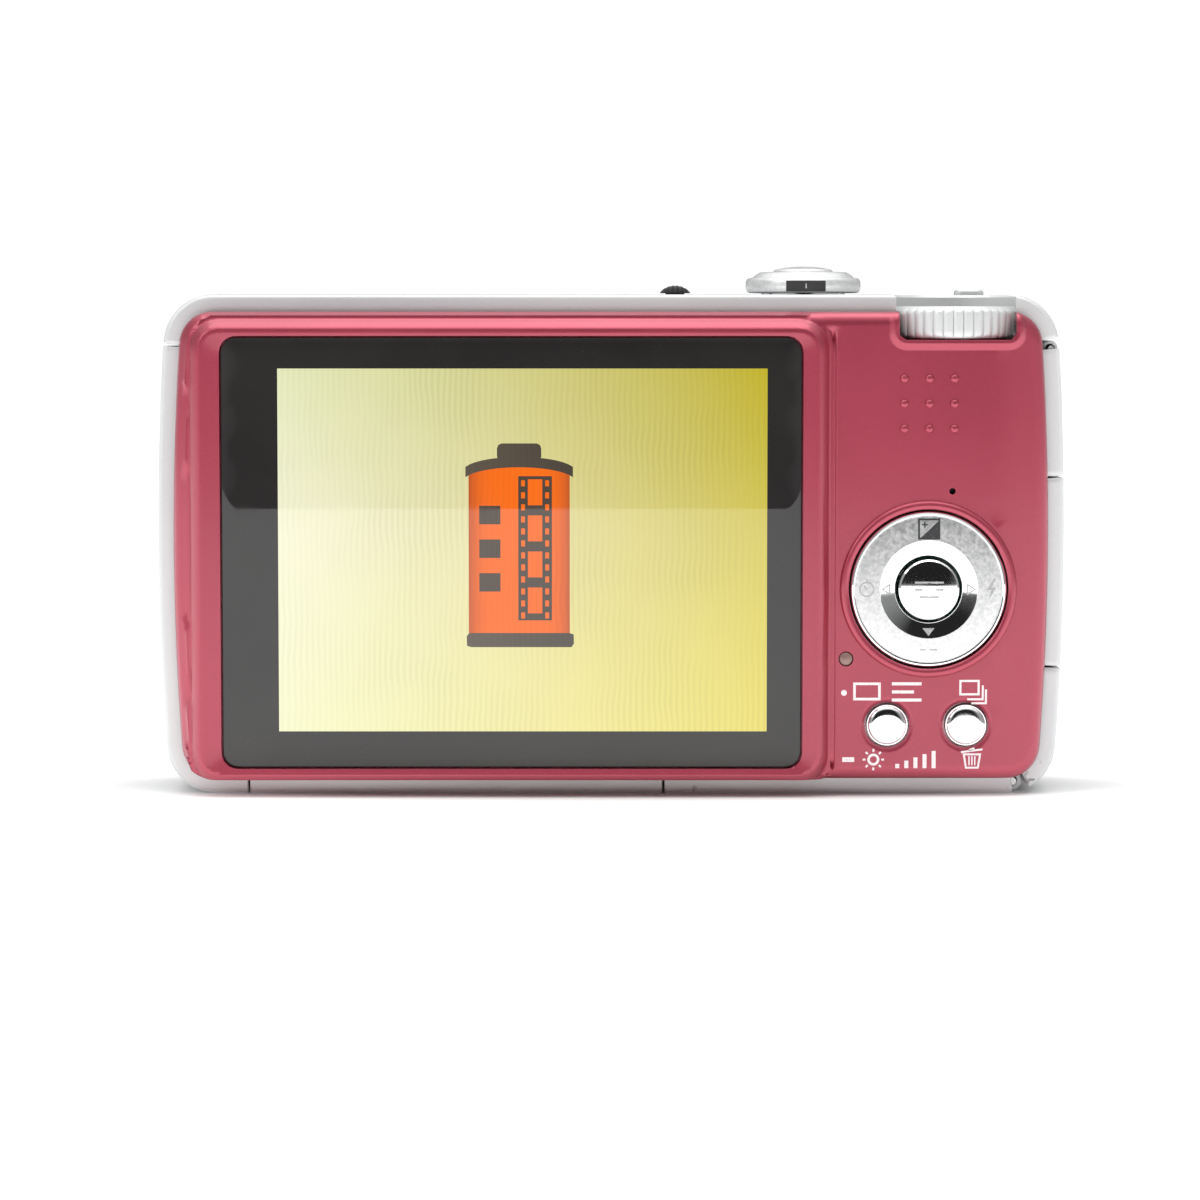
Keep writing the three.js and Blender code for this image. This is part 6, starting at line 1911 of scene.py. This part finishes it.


# ---------------------------------------------------------------- flash window and assist lamp
# The flash window is clear moulded plastic with upright ribs on its face that spread the light. The assist
# lamp is a small smoky dome over an amber diode.


def make_front_windows():
    """The ribbed block with rounded edges, and the dome."""
    material, tree, shader, vector = new_material("clear_moulding")
    wear = place_wear(tree, vector, 120.0, 2600.0)
    tint = mix_colour(tree, wear.outputs["Smudge"], (0.93, 0.95, 0.96), (0.86, 0.88, 0.89))
    tree.links.new(tint, shader.inputs["Base Color"])
    tree.links.new(ramp_between(tree, wear.outputs["Smudge"], 0.0, 1.0, 0.05, 0.16),
                   shader.inputs["Roughness"])
    shader.inputs["Metallic"].default_value = 0.0
    shader.inputs["Transmission Weight"].default_value = 0.9
    shader.inputs["IOR"].default_value = 1.49
    loop, normals = rounded_rectangle(FLASH[0][[0, 2]], FLASH[1][[0, 2]], 0.8, 0.3)
    rear, front = FLASH[0][1], FLASH[1][1]
    x = np.linspace(FLASH[0][0] + 0.7, FLASH[1][0] - 0.7, 145)
    z = np.linspace(FLASH[0][2] + 0.7, FLASH[1][2] - 0.7, 9)
    gx, gz = np.meshgrid(x, z, indexing="ij")
    rib = np.abs(np.sin((gx - x[0]) * math.pi / 0.55))
    inner_edge = np.minimum(np.minimum(gx - x[0], x[-1] - gx), np.minimum(gz - z[0], z[-1] - gz))
    gy = front - 0.16 + 0.15 * rib * smooth_step(inner_edge / 0.3)
    ribs = (np.stack([gx, gy, gz], axis=-1).reshape(-1, 3), grid_faces(145, 9, False, False))
    ring_levels = [(rear, 0.0), (front - 0.25, 0.0), (front - 0.1, -0.06), (front - 0.05, -0.2)]
    rings = []
    for place, grow in ring_levels:
        flat = loop + grow * normals
        rings.append(np.stack([flat[:, 0], np.full(len(loop), place), flat[:, 1]], axis=1))
    count = len(loop)
    border = np.concatenate([np.stack([x, np.full(145, z[0])], axis=1),
                             np.stack([np.full(8, x[-1]), z[1:]], axis=1),
                             np.stack([x[::-1][1:], np.full(144, z[-1])], axis=1),
                             np.stack([np.full(7, x[0]), z[::-1][1:-1]], axis=1)])
    flat = loop - 0.2 * normals
    sheet, faces = sheet_of_triangles(flat, [border], (), 1.5)
    frame_y = np.where(rectangle_distance(sheet[:, 0], sheet[:, 1], (x[0], z[0]), (x[-1], z[-1]),
                                          0.001) > 0.01, front - 0.05, front - 0.16)
    rim = (np.stack([sheet[:, 0], frame_y, sheet[:, 1]], axis=1), faces)
    parts = [ribs, (np.concatenate(rings), grid_faces(4, count)), (rings[0], [list(range(count))]), rim]
    make_piece("flash_window_ribbed", parts, material, "case", ["flash_window"], 30)
    low, high = ASSIST
    reach = np.linspace(0, ASSIST_RADIUS - 0.1, 12)
    profile = [*zip(reach, high[1] - 0.45 * (reach / ASSIST_RADIUS) ** 2), (ASSIST_RADIUS, high[1] - 0.6),
               (ASSIST_RADIUS, low[1] + 0.1), (0, low[1])]
    make_piece("assist_lamp_dome", [lathe(profile, ASSIST_MIDDLE, 1, 56)], LAMP_PLASTIC, "case",
               ["assist_lamp"], 30)


make_front_windows()


# ---------------------------------------------------------------- release lever
# A black plastic catch in the battery door, with cross ridges for a fingertip, on a wider sliding plate.


def make_lever():
    """A ridged block on a rounded plate."""
    lever_x = (LEVER[0][0] + LEVER[1][0]) / 2
    bottom = LEVER[0][2]
    length = np.linspace(-2.2, 2.2, 67)
    depth = bottom + 0.14 * (0.5 - 0.5 * np.cos(length * 2 * math.pi / 0.8)) * (np.abs(length) < 1.7)
    depth = depth + 0.25 * smooth_step((np.abs(length) - 1.95) / 0.25)
    outline = np.concatenate([np.stack([lever_x + length, depth], axis=1),
                              np.array([[lever_x + 2.2, 1.52], [lever_x - 2.2, 1.52]])])
    block = prism(outline, BAND_MID_Y - 1.7, BAND_MID_Y + 1.7)
    loop, normals = rounded_rectangle((lever_x - 3.2, BAND_MID_Y - 2.7), (lever_x + 3.2, BAND_MID_Y + 2.7),
                                      0.5, 0.5)
    plate = carry(loop, normals, soft_levels(1.5, LEVER[1][2], 0.15), 2)
    make_piece("release_lever_ridged", [block, plate], BLACK_PLASTIC, "lever",
               ["release_lever"], 30)


make_lever()


# ---------------------------------------------------------------- inner parts
# Boards, battery, card, bay, flash parts, motor, sensor and lens housing keep their own shapes. They are
# seen only through openings, so each gets the finish of its real material.


def make_board_finish():
    """Green solder mask over copper tracks: a fine pattern of lines and pads, with small tin dots."""
    material, tree, shader, vector = new_material("circuit_board")
    bricks = tree.nodes.new("ShaderNodeTexBrick")
    bricks.inputs["Scale"].default_value = 420.0
    bricks.inputs["Mortar Size"].default_value = 0.06
    bricks.inputs["Color1"].default_value = (0.012, 0.085, 0.040, 1)
    bricks.inputs["Color2"].default_value = (0.016, 0.105, 0.050, 1)
    bricks.inputs["Mortar"].default_value = (0.030, 0.170, 0.085, 1)
    turn = tree.nodes.new("ShaderNodeMapping")
    turn.inputs["Rotation"].default_value = (math.pi / 2, 0, 0)
    tree.links.new(vector, turn.inputs["Vector"])
    tree.links.new(turn.outputs[0], bricks.inputs["Vector"])
    dots = tree.nodes.new("ShaderNodeTexVoronoi")
    dots.inputs["Scale"].default_value = 700.0
    tree.links.new(vector, dots.inputs["Vector"])
    pads = ramp_between(tree, dots.outputs["Distance"], 0.16, 0.20, 1.0, 0.0)
    tree.links.new(mix_colour(tree, pads, bricks.outputs["Color"], (0.55, 0.54, 0.50)),
                   shader.inputs["Base Color"])
    tree.links.new(math_node(tree, "MULTIPLY", pads, 0.9), shader.inputs["Metallic"])
    tree.links.new(ramp_between(tree, noise(tree, vector, 900.0), 0.3, 0.7, 0.28, 0.45),
                   shader.inputs["Roughness"])
    bump_into(tree, shader, pads, 0.3, 0.00005)
    return material


def make_wrap_finish():
    """Dark printed film shrunk over a cell, with pale bands and a fine weave."""
    material, tree, shader, vector = new_material("wrapped_cell")
    split = tree.nodes.new("ShaderNodeSeparateXYZ")
    tree.links.new(vector, split.inputs[0])
    bands = math_node(tree, "LESS_THAN", math_node(tree, "FRACT",
                                                   math_node(tree, "MULTIPLY", split.outputs["Z"], 110.0)),
                      0.16)
    grain = noise(tree, vector, 1800.0)
    dark = mix_colour(tree, grain, (0.050, 0.053, 0.060), (0.075, 0.079, 0.088))
    tree.links.new(mix_colour(tree, bands, dark, (0.42, 0.43, 0.45)), shader.inputs["Base Color"])
    tree.links.new(ramp_between(tree, grain, 0.3, 0.7, 0.35, 0.5), shader.inputs["Roughness"])
    bump_into(tree, shader, grain, 0.15, 0.00002)
    return material


def make_sensor_finish():
    """Dark iridescent silicon under glass, with a fine grid."""
    material, tree, shader, vector = new_material("image_sensor")
    cells = tree.nodes.new("ShaderNodeTexVoronoi")
    cells.inputs["Scale"].default_value = 3000.0
    tree.links.new(vector, cells.inputs["Vector"])
    tree.links.new(mix_colour(tree, cells.outputs["Distance"], (0.02, 0.05, 0.06), (0.09, 0.03, 0.10)),
                   shader.inputs["Base Color"])
    tree.links.new(ramp_between(tree, noise(tree, vector, 700.0), 0.3, 0.7, 0.05, 0.15),
                   shader.inputs["Roughness"])
    return material


def make_display_finish():
    """The back of the display: brushed bright reflector film with faint rows."""
    material, tree, shader, vector = new_material("display_module")
    wear = place_wear(tree, vector, 80.0, 2000.0)
    rows = tree.nodes.new("ShaderNodeTexWave")
    rows.bands_direction = "Z"
    rows.inputs["Scale"].default_value = 900.0
    tree.links.new(vector, rows.inputs["Vector"])
    tree.links.new(mix_colour(tree, rows.outputs["Fac"], (0.60, 0.61, 0.63), (0.70, 0.71, 0.72)),
                   shader.inputs["Base Color"])
    tree.links.new(ramp_between(tree, wear.outputs["Smudge"], 0.0, 1.0, 0.25, 0.4),
                   shader.inputs["Roughness"])
    shader.inputs["Metallic"].default_value = 0.8
    return material


def make_flash_tube_glass():
    """Clear glass tube with a faint milky drift."""
    material, tree, shader, vector = new_material("flash_glass")
    drift = noise(tree, vector, 900.0)
    tree.links.new(mix_colour(tree, drift, (0.95, 0.96, 0.97), (0.85, 0.87, 0.90)),
                   shader.inputs["Base Color"])
    tree.links.new(ramp_between(tree, drift, 0.3, 0.7, 0.02, 0.08), shader.inputs["Roughness"])
    shader.inputs["Metallic"].default_value = 0.0
    shader.inputs["Transmission Weight"].default_value = 0.85
    return material


def dress(finish, nodes):
    """Gives CAD nodes a finish in place of their own."""
    for node in nodes:
        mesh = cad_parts[node].data
        mesh.materials.clear()
        mesh.materials.append(finish)


BOARD = make_board_finish()
WRAP = make_wrap_finish()
DISPLAY = make_display_finish()
dress(STEEL, ["zoom_motor", "flash_reflector", "battery_door_pin", "terminal_door_pin", "chassis",
              "microphone"])
dress(BOARD, ["main_board", "switch_board", "top_board"])
dress(WRAP, ["battery", "memory_card", "flash_capacitor"])
dress(DISPLAY, ["lcd_panel", "lcd_backlight"])
dress(BLACK_PLASTIC, ["lens_housing", "battery_bay", "terminal_socket", "pad_carrier", "barrier_blade_upper",
                      "barrier_blade_lower", "speaker"])
dress(make_sensor_finish(), ["image_sensor"])
dress(make_flash_tube_glass(), ["flash_tube"])
